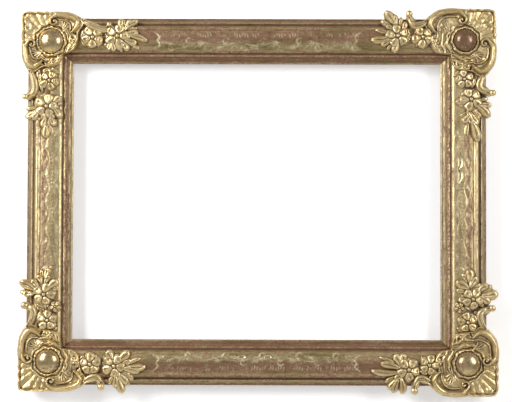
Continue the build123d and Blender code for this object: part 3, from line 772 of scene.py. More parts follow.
@dataclass(frozen=True)
class BareWood:
    """Planed hardwood gone brown with age."""

    name: str
    colour: tuple[float, float, float] = (0.46, 0.30, 0.155)

    def build(self) -> bpy.types.Material:
        """Build the material."""
        material, sheet, shader = new_material(self.name)
        place = sheet.add("ShaderNodeTexCoord").outputs["Object"]
        along = sheet.stretch(place, (1, 6, 6), (0, radians(45), 0))
        rings = sheet.noise(along, 60.0, 6.0, 1.5)
        pores = sheet.noise(along, 420.0, 2.0)
        dark = tuple(part * 0.5 for part in self.colour)
        sheet.fill(shader, {
            "Base Color": sheet.blend(sheet.steps(rings, 0.35, 0.65), (*self.colour, 1), (*dark, 1)),
            "Roughness": 0.7,
            "Normal": sheet.bump(pores, 0.0002, 0.5),
        })
        return material


@dataclass
class Moulding:
    """The section of a rail: places in from the outer edge, heights, how rubbed each is and its painted light
    and shade.
    """

    # The fourth figure of each row is painted light and shade: mostly positive on crests and beads, negative
    # in grooves and hollows.
    section: tuple[tuple[float, float, float, float], ...] = (
        (67.0, 0.2, 0.0, 0.0), (4.0, 0.2, 0.0, -0.3), (1.2, 10.0, 0.7, -0.5), (0.2, 20.8, 0.5, -0.3),
        (0.5, 22.2, 0.8, 0.0), (2.5, 22.8, 1.1, -0.5), (5.0, 24.2, 0.2, 0.5), (6.9, 26.4, 0.1, 0.1),
        (7.6, 28.4, 0.2, 0.5), (8.7, 29.6, 0.2, 0.7), (9.8, 28.6, 0.5, 0.1), (10.5, 28.0, 0.4, -0.3),
        (12.4, 28.1, 0.6, -0.4), (12.9, 29.9, 0.7, -0.1), (14.0, 32.7, 0.7, 0.0), (15.5, 34.7, 0.5, 0.2),
        (17.0, 35.4, 0.3, 0.5), (18.8, 35.4, 0.3, 0.5), (20.2, 34.8, 0.6, 0.1), (20.9, 33.8, 0.5, -0.5),
        (22.5, 33.6, 0.3, 0.0), (26.0, 34.1, 0.9, -0.15), (30.0, 34.7, 1.05, -0.25), (34.0, 35.1, 1.05, -0.4),
        (38.0, 35.1, 0.6, -0.2), (42.0, 34.8, 0.2, 0.0), (46.0, 34.2, 0.0, 0.1), (50.0, 33.5, 0.0, 0.2),
        (53.6, 32.9, 0.2, 0.3), (55.6, 32.0, 0.4, 0.0), (57.0, 30.6, 0.4, -0.2), (57.9, 29.2, 0.5, -0.4),
        (58.4, 27.3, 0.6, -0.6), (59.4, 27.0, 0.8, -0.2), (60.1, 27.2, 1.0, 0.1), (61.2, 27.9, 1.5, 0.5),
        (62.4, 27.9, 1.6, 0.5), (63.5, 26.9, 1.5, 0.1), (64.1, 25.3, 1.2, -0.3), (66.0, 22.3, 1.1, 0.4),
        (68.5, 20.1, 0.6, -0.4), (71.2, 19.1, 0.4, 0.2), (72.4, 19.3, 0.4, 0.4), (73.9, 18.7, 0.3, 0.0),
        (73.95, 14.1, 0.2, -0.3), (67.0, 14.0, 0.0, 0.0), (67.0, 0.2, 0.0, 0.0),
    )
    panel: tuple[float, float] = (20.5, 54.0)
    panel_floor: float = 30.0
    back_rows: int = 4
    spacing: float = 1.4

    def places(self) -> list[Vector]:
        """Return the section's places, drawn closer together on the panel.

        The last row equals the first one, so it also ends the part before the panel. That leaves a narrow
        slit along the panel's outer side.
        """
        table = [Vector(row) for row in self.section]
        low, high = self.panel
        before = [row for row in table if row[0] < low or table.index(row) < self.back_rows]
        panel = [row for row in table if low <= row[0] <= high and row[1] > self.panel_floor]
        after = table[table.index(panel[-1]) + 1:]
        return [*before, *rounded_path(panel, 3), *after]


@dataclass
class Rail:
    """One gilded rail, drawn along its run with the unevenness of hand work and its engraved panel."""

    name: str
    level: bool
    far: int
    moulding: Moulding = field(default_factory=Moulding)
    cut: float = -0.6
    sight_start: float = 59.0
    unevenness: tuple[tuple[float, float, int, int, float], ...] = (
        (0.012, 0.05, 9, 31, 0.32), (0.05, 0.2, 5, 17, 0.22), (0.14, 0.5, 3, 7, 0.12),
    )
    # Painted shade taken off the outer members of the right upright.
    shade: float = 0.9
    bare_height: float = 15.0
    bare_edge: float = 2.0
    stained_height: float = 18.0
    stem_line: float = 43.5
    stem_step: float = 30.0
    chain_line: float = 40.5
    chain_step: float = 22.0
    dot_step: float = 6.0
    # Painted light and shade: stripes of lighter and darker tone along the members, each given by its middle,
    # width and amount.
    level_light_stripes: tuple[tuple[float, float, float], ...] = (
        (6.5, 3.2, 0.8), (11.5, 1.2, 0.3), (17.5, 2.5, -0.3),
    )
    upright_light_stripes: tuple[tuple[float, float, float], ...] = (
        (8.5, 1.4, 0.5), (11.5, 1.2, 0.5), (16.5, 2.6, 0.8), (22.0, 1.3, -1.5), (38.5, 4.6, 1.3),
        (47.5, 3.5, -0.5), (54.8, 1.6, 1.2), (58.2, 0.8, -0.8), (61.8, 1.6, 0.6), (66.0, 2.4, 0.1),
        (70.5, 2.0, 0.5),
    )

    @property
    def reach(self) -> float:
        """Return how far from the middle the engraving ends."""
        return 166.0 if self.level else 112.0

    def engraving(self) -> Strokes:
        """Draw the scrolls, leaves and dots that are cut into the panel.

        Returns:
            The strokes, with their places along the rail and in from its edge.
        """
        strokes = Strokes(1.2)
        for end in (-1, 1):
            bow = [Vector((end * (self.reach + out), across)) for across, out in
                   ((24, 2), (28, -4), (33, -7), (37.5, -4), (42, -7), (47, -4), (51, 2))]
            strokes.draw(bow, [0.8, 1.5, 1.5, 0.8], self.cut * 1.3)
        if self.level:
            self.scrolls(strokes)
        else:
            self.chain(strokes)
        strokes.settle()
        return strokes

    def scrolls(self, strokes: Strokes) -> None:
        """Draw a waving stem with curls, leaves and hatching, as on the level rails."""
        turns = range(-5, 6)
        stem = [Vector((self.stem_step * turn, self.stem_line + 3.6 * (-1) ** turn)) for turn in turns]
        strokes.draw(stem, [0.8, 1.1, 0.8], self.cut)
        for turn in turns:
            middle = self.stem_step * turn
            swing = (-1) ** turn * self.far
            heart = Vector((middle + 9, self.stem_line - 4.2 * swing))
            curl = []
            for angle in range(0, 331, 55):
                lean = radians(angle * swing)
                curl.append(heart + Vector((cos(lean), sin(lean))) * (1.4 + angle / 62))
            strokes.draw(curl, [0.8, 1.3, 1.0], self.cut)
            for fan in range(5):
                lean = radians(28 + 27 * fan)
                root = Vector((middle - 4, self.stem_line + 1.0 + swing))
                tip = root + Vector((cos(lean) * 9, swing * sin(lean) * (6.5 + fan % 2)))
                bend = root.lerp(tip, 0.5) + Vector((2.4, 0))
                strokes.draw([root, bend, tip], [0.7, 0.9, 0.4], self.cut)
            for hook in range(3):
                start = Vector((middle + 8 * hook - 12, 50.5 - 1.5 * hook))
                hooked = [start, start + Vector((3.5, -4.5)), start + Vector((9.5, -6.5))]
                strokes.draw(hooked, [0.6, 1.2, 0.5], self.cut)
            for mark in range(6):
                start = Vector((middle + 4.2 * mark - 8, 25.5 + 1.4 * sin(1.7 * mark + turn)))
                hatch = [start, start + Vector((1.8, 3.5)), start + Vector((0.6, 7))]
                strokes.draw(hatch, [0.5, 1.0, 0.5], self.cut * 0.8)
        for along in (-23.0, 19.0) if self.far < 0 else ():
            strokes.draw([Vector((along - 4, 47)), Vector((along + 4, 47))], [2.6, 3.0, 2.6], self.cut * 2.4)

    def chain(self, strokes: Strokes) -> None:
        """Draw a chain of dots between waving stems and leaves, as on the upright rails."""
        turns = range(-5, 6)
        for dot in range(-17, 18):
            place = Vector((self.dot_step * dot, self.chain_line + 0.5 + 1.2 * sin(0.9 * dot)))
            strokes.draw([place, place + Vector((1.5, 0))], [1.5, 1.5], self.cut * 1.4)
        for side in (-1, 1):
            stem = [Vector((self.chain_step * turn, self.chain_line + side * (6.5 + 2.5 * (-1) ** turn)))
                    for turn in turns]
            strokes.draw(stem, [0.9, 1.2, 0.9], self.cut)
            for turn in turns:
                root = Vector((self.chain_step * turn, self.chain_line + side * 7))
                for fan in range(4):
                    lean = radians(20 + 32 * fan)
                    tip = root + Vector((cos(lean) * 8, side * sin(lean) * 6))
                    strokes.draw([root, root.lerp(tip, 0.5) + Vector((2, 0)), tip], [0.9, 1.1, 0.5], self.cut)
        for along in (64.0, 42.0) if self.far > 0 else ():
            lens = [Vector((along + out, 45 + rise)) for out, rise in ((-11, 2), (-4, -1), (4, -1), (11, 2))]
            strokes.draw(lens, [1.0, 4.2, 4.2, 1.0], self.cut * 2.4)

    def painted_stripe_tone(self, tone: float, across: float) -> float:
        """Return the tone of this rail with painted light and shade in stripes along its members, darker on
        the right upright's outer members.
        """
        stripes = self.level_light_stripes if self.level else self.upright_light_stripes
        shaded = not self.level and self.far > 0
        for middle, width, amount in stripes:
            if shaded and middle < self.moulding.panel[0]:
                amount = min(amount - self.shade, 0.0)
            tone += amount * swell(across - middle, width)
        return tone

    def bareness(self, across: float, height: float) -> float:
        """Return how bare the wood is: wholly so at the back and partly so low on the outer side."""
        if across > self.bare_edge:
            return 1.0 if height < self.bare_height else 0.0
        return 0.6 if height < self.stained_height else 0.0

    def place(self, across: float, height: float, share: float) -> Vector:
        """Return the place in metres of a point of the section at a share of the run from the middle."""
        out = (OUTER_HEIGHT if self.level else OUTER_WIDTH) / 2 - across
        reach = ((OUTER_WIDTH if self.level else OUTER_HEIGHT) / 2 - across) * share
        if 1 < height and 1 < across < RAIL - 1:
            for pitch, width, far, level, lift in self.unevenness:
                spot = Vector((reach * pitch, across * width, self.far * far + self.level * level))
                height += lift * noise.noise(spot)
        if self.level:
            return Vector((reach, -height, self.far * out)) * MM
        return Vector((self.far * out, -height, reach)) * MM

    def build(self, material: bpy.types.Material) -> bpy.types.Object:
        """Build the rail's mesh: the section drawn from one mitre to the other.

        Args:
            material: its finish.

        Returns:
            The rail as a piece.
        """
        mesh = bmesh.new()
        layers = {label: mesh.verts.layers.float.new(label) for label in ("rub", "tone", "bare", "line")}
        places = self.moulding.places()
        strokes = self.engraving()
        length = OUTER_WIDTH if self.level else OUTER_HEIGHT
        low, high = self.moulding.panel
        last = len(places) - 1
        rows = round(length / self.moulding.spacing)
        sheet = bmesh.ops.create_grid(mesh, x_segments=last, y_segments=rows, size=0.5)["verts"]
        for vert in sheet:
            across, height, rub, tone = places[round((vert.co.x + 0.5) * last)]
            share = 2 * vert.co.y
            line = 0.0
            if low < across < high and height > self.moulding.panel_floor:
                cut = strokes.carve((length / 2 - across) * share, across, 0.0)
                height += cut
                rub += cut * 0.8
                # Painted shade darkens the deepest cuts; shallower engraved lines get a painted highlight
                # through the line attribute.
                if cut < 2 * self.cut:
                    tone += cut * 0.5
                else:
                    line = cut / self.cut
            if not self.level:
                rub *= 0.7 if across > self.sight_start else 0.8
            vert[layers["line"]] = line
            vert[layers["rub"]] = rub
            vert[layers["tone"]] = self.painted_stripe_tone(tone, across)
            vert[layers["bare"]] = self.bareness(across, height)
            vert.co = self.place(across, height, share)
        bmesh.ops.remove_doubles(mesh, verts=sheet, dist=0.00001)
        bmesh.ops.holes_fill(mesh, edges=[edge for edge in mesh.edges if edge.is_boundary], sides=0)
        return finish_mesh(mesh, f"{self.name}_gilded", material, [self.name])


RAILS = (("top_rail", True, 1), ("bottom_rail", True, -1), ("left_rail", False, -1), ("right_rail", False, 1))


@dataclass
class CornerPlan:
    """Where one corner's carving lies, in shares of the rail's width."""

    corner: Corner
    boss: tuple[float, float]
    boss_radius: float
    overhang: tuple[float, float]
    reach: tuple[float, float]
    boss_rub: float = 0.2


CORNER_PLANS = (
    CornerPlan(Corner.TOP_LEFT, (0.53, 0.54), 0.275, (0.13, 0.13), (1.22, 1.20)),
    CornerPlan(Corner.TOP_RIGHT, (0.49, 0.50), 0.25, (0.21, 0.22), (1.36, 1.28), 1.5),
    CornerPlan(Corner.BOTTOM_LEFT, (0.51, 0.53), 0.265, (0.16, 0.14), (1.32, 1.32)),
    CornerPlan(Corner.BOTTOM_RIGHT, (0.44, 0.50), 0.27, (0.25, 0.23), (1.28, 1.30), 0.5),
)

FLOWERS = {
    "top_left_level": ((1.44, 0.45, 0.24), (1.98, 0.42, 0.27)),
    "top_left_upright": ((1.40, 0.50, 0.21), (1.97, 0.44, 0.26)),
    "top_right_level": ((1.41, 0.43, 0.23), (1.96, 0.40, 0.25)),
    "top_right_upright": ((1.35, 0.51, 0.20), (1.79, 0.36, 0.24)),
    "bottom_left_level": ((1.43, 0.47, 0.23), (1.95, 0.43, 0.25)),
    "bottom_left_upright": ((1.42, 0.49, 0.22), (1.98, 0.41, 0.24), (1.72, 0.66, 0.12)),
    "bottom_right_level": ((1.28, 0.47, 0.21), (1.72, 0.37, 0.25)),
    "bottom_right_upright": ((1.40, 0.44, 0.22), (1.91, 0.32, 0.23), (1.72, 0.62, 0.11)),
}
LEAVES = {
    "top_left_level": (
        (2.09, 0.30, 2.07, 0.03, 0.11), (2.13, 0.28, 2.27, 0.05, 0.12), (2.20, 0.22, 2.45, 0.10, 0.09),
        (2.16, 0.36, 2.45, 0.31, 0.14), (2.20, 0.42, 2.66, 0.54, 0.11), (2.14, 0.48, 2.42, 0.56, 0.13),
        (2.05, 0.54, 2.22, 0.75, 0.12), (1.88, 0.56, 1.94, 0.75, 0.11), (1.82, 0.55, 1.76, 0.73, 0.11),
    ),
    "top_left_upright": (
        (2.05, 0.26, 2.20, -0.04, 0.12), (2.10, 0.30, 2.28, 0.14, 0.12), (2.12, 0.38, 2.28, 0.34, 0.12),
        (2.10, 0.52, 2.27, 0.61, 0.12), (2.00, 0.58, 2.24, 0.75, 0.12), (2.22, 0.44, 2.44, 0.37, 0.12),
        (2.22, 0.50, 2.41, 0.62, 0.12), (2.38, 0.45, 2.68, 0.45, 0.14), (1.90, 0.60, 1.77, 0.77, 0.13),
    ),
    "top_right_level": (
        (2.02, 0.18, 2.26, -0.14, 0.15), (1.98, 0.20, 2.01, -0.09, 0.11), (2.05, 0.28, 2.24, 0.18, 0.09),
        (2.12, 0.42, 2.57, 0.47, 0.13), (2.08, 0.50, 2.33, 0.63, 0.11), (1.98, 0.54, 2.08, 0.76, 0.13),
        (1.86, 0.28, 1.80, 0.08, 0.10),
    ),
    "top_right_upright": (
        (1.88, 0.20, 1.90, -0.10, 0.11), (1.90, 0.28, 2.20, -0.05, 0.14), (2.06, 0.38, 2.34, 0.19, 0.14),
        (2.10, 0.38, 2.31, 0.56, 0.13), (1.92, 0.42, 2.36, 0.36, 0.06), (2.28, 0.36, 2.74, 0.23, 0.14),
        (1.84, 0.50, 1.88, 0.69, 0.12),
    ),
    "bottom_left_level": (
        (2.04, 0.20, 2.17, -0.16, 0.14), (1.98, 0.22, 1.96, -0.06, 0.12), (2.06, 0.28, 2.28, 0.06, 0.15),
        (2.14, 0.36, 2.52, 0.29, 0.14), (2.26, 0.43, 2.66, 0.43, 0.12), (2.06, 0.52, 2.31, 0.73, 0.14),
        (1.90, 0.54, 1.77, 0.76, 0.14),
    ),
    "bottom_left_upright": (
        (2.06, 0.22, 2.25, -0.14, 0.14), (2.02, 0.20, 2.02, -0.06, 0.11), (2.12, 0.28, 2.29, 0.11, 0.12),
        (2.12, 0.52, 2.28, 0.73, 0.14), (2.20, 0.36, 2.41, 0.26, 0.10), (2.20, 0.44, 2.40, 0.54, 0.10),
        (2.32, 0.42, 2.58, 0.48, 0.11),
    ),
    "bottom_right_level": (
        (1.90, 0.18, 1.86, -0.17, 0.12), (1.94, 0.14, 2.05, -0.15, 0.12), (2.00, 0.18, 2.19, -0.05, 0.12),
        (1.82, 0.26, 2.04, 0.14, 0.12), (1.90, 0.34, 2.57, 0.36, 0.11), (1.92, 0.38, 2.36, 0.49, 0.13),
        (1.84, 0.44, 1.81, 0.73, 0.14), (1.90, 0.42, 2.05, 0.70, 0.14),
    ),
    "bottom_right_upright": (
        (1.94, 0.20, 1.80, -0.05, 0.14), (2.00, 0.12, 2.06, -0.23, 0.17), (2.06, 0.20, 2.22, -0.02, 0.13),
        (2.02, 0.34, 2.17, 0.20, 0.12), (1.90, 0.46, 1.91, 0.65, 0.12), (2.12, 0.42, 2.27, 0.71, 0.15),
        (2.14, 0.38, 2.39, 0.21, 0.14), (2.28, 0.41, 2.57, 0.42, 0.15),
    ),
}
CURLS = {
    "top_left_level": (1.80, 0.17, 0.055),
    "top_left_upright": (1.76, -0.03, 0.065),
    "top_right_level": (1.71, -0.08, 0.080),
    "top_right_upright": (1.65, -0.11, 0.075),
    "bottom_left_level": (1.67, -0.02, 0.085),
    "bottom_left_upright": (1.74, -0.01, 0.088),
    "bottom_right_level": (1.60, -0.09, 0.085),
    "bottom_right_upright": (1.71, -0.10, 0.075),
}


@dataclass
class Spray:
    """The flowers and leaves applied to one rail beside a corner."""

    corner: Corner
    run: Run
    reach: float
    floor: float = 31.2
    petals: int = 5
    side_leaves: tuple[tuple[float, int, int], ...] = (
        (0.05, 1, 17), (0.5, -1, 15), (0.5, 1, 15), (0.95, -1, 18), (-0.5, -1, 15), (-0.5, 1, 14),
    )

    def flower(self, carving: Carving, along: float, across: float, size: float, turned: float) -> None:
        """Carve one rosette: cupped petals in two rows round a beaded eye.

        Args:
            carving: what it is carved in.
            along: its distance from the corner, in shares of the rail's width.
            across: its distance in from the edge, in the same shares.
            size: its radius, in the same shares.
            turned: how far its petals are turned, in degrees.
        """
        heart = self.run.spot(along, across)
        radius = size * RAIL
        for petal in range(self.petals):
            turn = radians(360 * petal / self.petals + turned)
            ahead = Vector((cos(turn), sin(turn)))
            aside = Vector((-ahead.y, ahead.x)) * radius * 0.10
            long = 1.04 + 0.08 * sin(5.1 * petal + turned)
            spine = [heart + ahead * radius * share for share in (0.14, 0.6, long)]
            spine[1] += aside
            carving.leaf(spine, radius * 1.15, 34.0, 42.8, self.floor, vein=0.9, tip=0.5, broad=0.64,
                         rise=-0.4, cup=1.9, skew=1.1)
            turn += pi / self.petals
            ahead = Vector((cos(turn), sin(turn)))
            under = [heart + ahead * radius * share for share in (0.2, 0.6, 1.02)]
            carving.leaf(under, radius * 0.62, 33.6, 38.0, self.floor, vein=1.0, broad=0.5)
        carving.ball(heart, radius * 0.33, 40.6, 0.42)
        carving.ball(heart, radius * 0.18, 43.4, 0.9)

    def build(self, material: bpy.types.Material) -> bpy.types.Object:
        """Carve the whole spray.

        Args:
            material: its finish.

        Returns:
            The spray as a piece.
        """
        key = f"{self.corner.label}_{self.run.value}"
        carving = Carving()
        for index, (ra, rb, ta, tb, width) in enumerate(LEAVES[key]):
            root, tip = self.run.spot(ra, rb), self.run.spot(ta, tb)
            ahead = tip - root
            swing = 1 if index % 2 else -1
            bow = Vector((-ahead.y, ahead.x)) * 0.16 * swing
            spine = [root - ahead * 0.1, root + ahead * 0.5 + bow, root + ahead * 0.98]
            carving.leaf(spine, width * RAIL * 1.62, 34.0, 41.0, self.floor, vein=1.5, broad=0.62,
                         tip=0.34, skew=0.9 * swing, cup=1.3)
            under = [root - ahead * 0.2, root + ahead * 0.3 - bow * 2.2, root + ahead * 0.72 - bow * 2.6]
            carving.leaf(under, width * RAIL * 1.1, 33.0, 37.6, self.floor, vein=1.0, broad=0.6, tip=0.3)
        flowers = FLOWERS[key]
        first, second = (self.run.spot(*flower[:2]) for flower in flowers[:2])
        start = self.run.spot(self.reach - 0.06, flowers[0][1])
        carving.ridge(rounded_path([start, first, second], 5), [10.0, 9.0, 5.0], 37.0, 0.45)
        span = second - first
        ahead = span.normalized()
        aside = Vector((-span.y, span.x)).normalized()
        for place, out, length in self.side_leaves:
            root = first + span * place
            tip = root + aside * out * length + ahead * 7
            spine = [root, (root + tip) / 2 + ahead * 3, tip]
            carving.leaf(spine, 11.0, 33.2, 37.2, self.floor, vein=1.2, lobes=2)
        for along, across, size in flowers:
            self.flower(carving, along, across, size, 360 * along)
        return carving.finish(f"{key}_spray_carving", self.corner, material,
                              [f"{key}_spray"])


@dataclass
class CurledLeaf:
    """The scroll leaf between a cartouche and its spray."""

    corner: Corner
    run: Run
    reach: float

    def build(self, material: bpy.types.Material) -> bpy.types.Object:
        """Carve the leaf from under the scroll to its round tip."""
        key = f"{self.corner.label}_{self.run.value}"
        along, across, size = CURLS[key]
        carving = Carving()
        root = self.run.spot(self.reach - 0.10, 0.05)
        belly = self.run.spot((self.reach + along) / 2, 0.24)
        bend = self.run.spot(along - 0.03, max(0.04, across) + 0.24)
        tip = self.run.spot(along, across)
        spine = [root, belly, bend, tip]
        carving.leaf(spine, 16.5, 30.0, 42.4, 22.5, vein=1.7, tip=0.68, broad=0.36, skew=1.1)
        carving.ball(tip, size * RAIL * 1.02, 42.9, 0.7)
        outwards = self.run.spot(0, -0.055)
        edge = [bezier(spine, 0.08 + 0.86 * step / 10) + outwards for step in range(11)]
        carving.ridge(edge, [2.6, 3.0, 2.2], 42.0, 0.8)
        hook = [
            self.run.spot(self.reach + 0.02, 0.30), self.run.spot(self.reach + 0.14, 0.27),
            self.run.spot(along - 0.22, 0.30), self.run.spot(along - 0.10, 0.36),
        ]
        carving.leaf(hook, 9.0, 34.0, 39.6, 31.2, vein=1.2, tip=0.3)
        return carving.finish(f"{key}_leaf_carving", self.corner, material,
                              [f"{key}_curled_leaf"])


@dataclass
class Cartouche:
    """A lobed corner piece: a fluted shell, two C-scrolls with dished fields and a collar round the boss."""

    plan: CornerPlan
    underside: float = 15.5
    ground: float = 38.2
    around: int = 320
    outward: int = 50
    flutes: int = 6
    scallops: int = 3
    under_collar: float = 0.92
    edge_fall: float = 4.0
    edge_width: float = 2.2

    def __post_init__(self) -> None:
        """Work out the sizes in millimetres."""
        self.heart = Vector(self.plan.boss) * RAIL
        self.seat = self.plan.boss_radius * RAIL
        self.side, self.top = (share * RAIL for share in self.plan.overhang)
        self.reaches = tuple(share * RAIL for share in self.plan.reach)

    def half(self, run: Run) -> tuple[float, float, float]:
        """Return the boss's distance along a rail, the overhang past its edge and the scroll's reach."""
        if run is Run.LEVEL:
            return self.heart.x, self.top, self.reaches[0]
        return self.heart.y, self.side, self.reaches[1]

    def spots(self, run: Run, places: list[tuple[float, float]]) -> list[Vector]:
        """Return places given in millimetres along a rail and in from its edge."""
        return [run.spot(along / RAIL, across / RAIL) for along, across in places]

    def outline(self) -> list[Vector]:
        """Return places round the lobed edge, from the inner corner along the level rail and back."""
        halves = []
        for run in Run:
            boss, past, reach = self.half(run)
            other = self.side if run is Run.LEVEL else self.top
            places = [
                (reach - 20, 57), (reach - 11, 50), (reach - 7, 38), (reach - 6, 25), (reach + 2, 12),
                (reach - 1, 2), (reach - 10, -past * 0.38), (reach - 21, -past * 0.82), (reach - 38, -past),
                (boss + 8, -past * 0.98), (boss - 2, -past * 0.90),
            ]
            span = (boss - 2 + other * 0.36) / self.scallops
            for scallop in range(self.scallops):
                start = boss - 2 - span * scallop
                places.append((start - span * 0.5, -past * (0.98 - 0.02 * scallop)))
                places.append((start - span, -past * 0.90))
            halves.append(self.spots(run, places[:-1]))
        tip = Vector((-self.side * 0.75, -self.top * 0.75))
        return [Vector((60, 60)), *halves[0], tip, *reversed(halves[1])]

    def strokes(self) -> Strokes:
        """Draw the scrolls, volutes, veins and ripples of both halves.

        Returns:
            The strokes.
        """
        strokes = Strokes()
        for run in Run:
            self.scroll(strokes, run)
            self.field(strokes, run)
            self.rosette(strokes, run)
        strokes.settle()
        return strokes

    def scroll(self, strokes: Strokes, run: Run) -> None:
        """Draw the C-scroll from the eye of its volute to its end, with a line along it."""
        boss, past, reach = self.half(run)
        eye = (boss + 5, 13.5 - 0.6 * past)
        volute = [
            (eye[0] + out * cos(radians(45 * turn)), eye[1] + out * sin(radians(45 * turn)))
            for turn, out in zip(range(-10, -2), (1.6, 2.6, 3.6, 4.4, 5.2, 6.0, 6.6, 7.2))
        ]
        band = [
            *volute, (boss + 9, 6.4 - past), (reach - 42, 6.0 - past), (reach - 26, 6.4 - past * 0.9),
            (reach - 14, 5.5 - past * 0.4), (reach - 8, 10), (reach - 12, 19), (reach - 18, 25),
        ]
        strokes.draw(self.spots(run, band), [1.8, 2.2, 3.0, 4.6, 5.2, 5.6, 5.8, 4.2, 1.6], 44.8, 5.6)
        strokes.draw(self.spots(run, [eye, (eye[0] + 0.4, eye[1])]), [2.6, 2.6], 44.6, 3.2)
        line = [
            (boss + 13, 15 - past), (reach - 38, 14.6 - past), (reach - 28, 15 - past * 0.85),
            (reach - 21, 14 - past * 0.2), (reach - 20, 22),
        ]
        strokes.draw(self.spots(run, line), [0.8, 1.5, 1.6, 1.0], 42.4, 2.6)

    def field(self, strokes: Strokes, run: Run) -> None:
        """Draw the dished field inside the scroll with its veins, and the ripples round the collar."""
        boss, _, reach = self.half(run)
        middle = (boss + reach) / 2
        dish = [(middle - 8, 17), (middle + 1, 12), (middle + 6, 20)]
        strokes.draw(self.spots(run, dish), [6, 9, 6], -2.4)
        for out, up in ((-7, 6), (-1, 3.5), (4, 8), (7, 15)):
            vein = [(middle - 6, 24), (middle - 4 + out * 0.5, 24 - (24 - up) * 0.6), (middle + out, up)]
            strokes.draw(self.spots(run, vein), [0.8, 1.7, 0.6], 40.4, 2.4)
        side = self.heart.y if run is Run.LEVEL else self.heart.x
        for step, (out, rise) in enumerate(((11.0, 42.0), (19.0, 41.4), (28.0, 41.0))):
            ripple = []
            for share in range(7):
                turn = radians(-26 + 11.5 * share + 3 * step)
                wave = self.seat + out + 1.3 * sin(2.4 * share + step)
                ripple.append((boss + wave * cos(turn), side + wave * sin(turn)))
            strokes.draw(self.spots(run, ripple), [1.2, 2.6, 3.0, 1.4], rise, 3.0)

    def rosette(self, strokes: Strokes, run: Run) -> None:
        """Draw the small flower beside the scroll's end, the hollow under it and the foot."""
        reach = self.half(run)[2]
        along, across = reach - 16, 40
        for petal in range(5):
            turn = radians(72 * petal + 20)
            lobe = [(along + out * cos(turn), across + out * sin(turn)) for out in (2.2, 5.2)]
            strokes.draw(self.spots(run, lobe), [1.8, 3.0], 42.8, 2.6)
        strokes.draw(self.spots(run, [(along, across), (along + 0.3, across)]), [1.7, 1.7], 43.6, 1.6)
        strokes.draw(self.spots(run, [(reach - 13.5, 26.5), (reach - 10, 29)]), [2.2, 1.4], -4.5)
        foot = [(reach - 26, 51), (reach - 17, 50), (reach - 12.5, 45), (reach - 11, 36), (reach - 12, 28)]
        strokes.draw(self.spots(run, foot), [1.5, 3.0, 3.0, 1.6], 41.6, 3.4)

    def rise(self, turn: float, distance: float, edge: float) -> float:
        """Return the height of the ground with its shell, collar and rim.

        Args:
            turn: direction from the boss, in radians.
            distance: distance from the middle of the boss.
            edge: distance from there to the outline in that direction.

        Returns:
            The height in millimetres.
        """
        first = atan2(-self.top * 0.6 - self.heart.y, -2.0)
        last = atan2(-2.0, -self.side * 0.6 - self.heart.x)
        share = (turn - last) / (first - last)
        from_edge = edge - distance
        from_seat = distance - self.seat
        height = self.ground
        inside = min(1.0, max(0.0, min(share, 1 - share) * 16)) if 0 < share < 1 else 0.0
        out = (from_seat - 5) / max(edge - self.seat - 5, 1)
        if inside:
            flute = abs(sin(pi * self.flutes * share)) ** 0.7
            height += inside * (0.4 + 1.7 * max(out, 0)) * (flute - 0.35)
            height += inside * (2.4 * swell(from_edge - 2.4, 1.5) - 1.3 * swell(from_edge - 5.4, 1.3))
        else:
            height += 1.5 * swell(from_edge - 2.2, 1.5)
        around = Vector((cos(turn) * distance * 0.14, sin(turn) * distance * 0.14, self.plan.reach[0] * 9))
        height += 1.5 * max(noise.noise(around), 0.0)
        wave = 0.8 * sin(11 * turn) + 0.6 * sin(7 * turn + 1.3)
        rope = 0.85 + 0.22 * sin(22 * turn + 0.9 * from_seat)
        height += 2.6 * rope * swell(from_seat - 2.0 - 0.4 * wave, 1.9)
        height -= 1.6 * swell(from_seat - 5.8 - wave, 1.1)
        height += 1.4 * swell(from_seat - 7.9 - wave, 1.2)
        return height

    def body(self, carving: Carving) -> None:
        """Carve the body as a sheet round the boss and draw its edge down to the underside.

        Args:
            carving: what it is carved in.
        """
        outline = self.outline()
        stops = rounded_path([*outline, outline[0]], 5)
        spokes = [stop - self.heart for stop in stops[:-1]]
        polar = sorted((atan2(spoke.y, spoke.x), spoke.length) for spoke in spokes)
        turns = [turn for turn, _ in polar]

        def edge(turn: float) -> float:
            """Return how far the outline lies from the boss in one direction."""
            after = bisect(turns, turn) % len(polar)
            start, near = polar[after - 1]
            end, far = polar[after]
            gap = (end - start) % (2 * pi)
            return near + (far - near) * (((turn - start) % (2 * pi)) / max(gap, 1e-6))

        strokes = self.strokes()
        start = self.seat * self.under_collar
        grid = bmesh.ops.create_grid(carving.mesh, x_segments=self.around, y_segments=self.outward,
                                     size=0.5)["verts"]
        for vert in grid:
            turn = 2 * pi * vert.co.x
            out = vert.co.y + 0.5
            reach = edge(turn)
            distance = start + (reach - start) * out
            u = self.heart.x + cos(turn) * distance
            v = self.heart.y + sin(turn) * distance
            height = strokes.carve(u, v, self.rise(turn, distance, reach))
            height -= self.edge_fall * max(0.0, 1 - (reach - distance) / self.edge_width) ** 2
            vert.co = (u, v, height)
        bmesh.ops.remove_doubles(carving.mesh, verts=grid, dist=0.01)
        rim = [vert for vert in carving.mesh.verts if vert.is_boundary]
        outer = [vert for vert in rim if (Vector(vert.co[:2]) - self.heart).length > self.seat]
        carving.close_skirt(outer, self.underside)
        bmesh.ops.holes_fill(carving.mesh, edges=[e for e in carving.mesh.edges if e.is_boundary], sides=0)

    def build(self, material: bpy.types.Material) -> bpy.types.Object:
        """Carve the cartouche.

        Args:
            material: its finish.

        Returns:
            The cartouche as a piece.
        """
        carving = Carving()
        self.body(carving)
        name = self.plan.corner.label
        return carving.finish(f"{name}_cartouche_carving", self.plan.corner, material,
                              [f"{name}_cartouche"], levels=0)


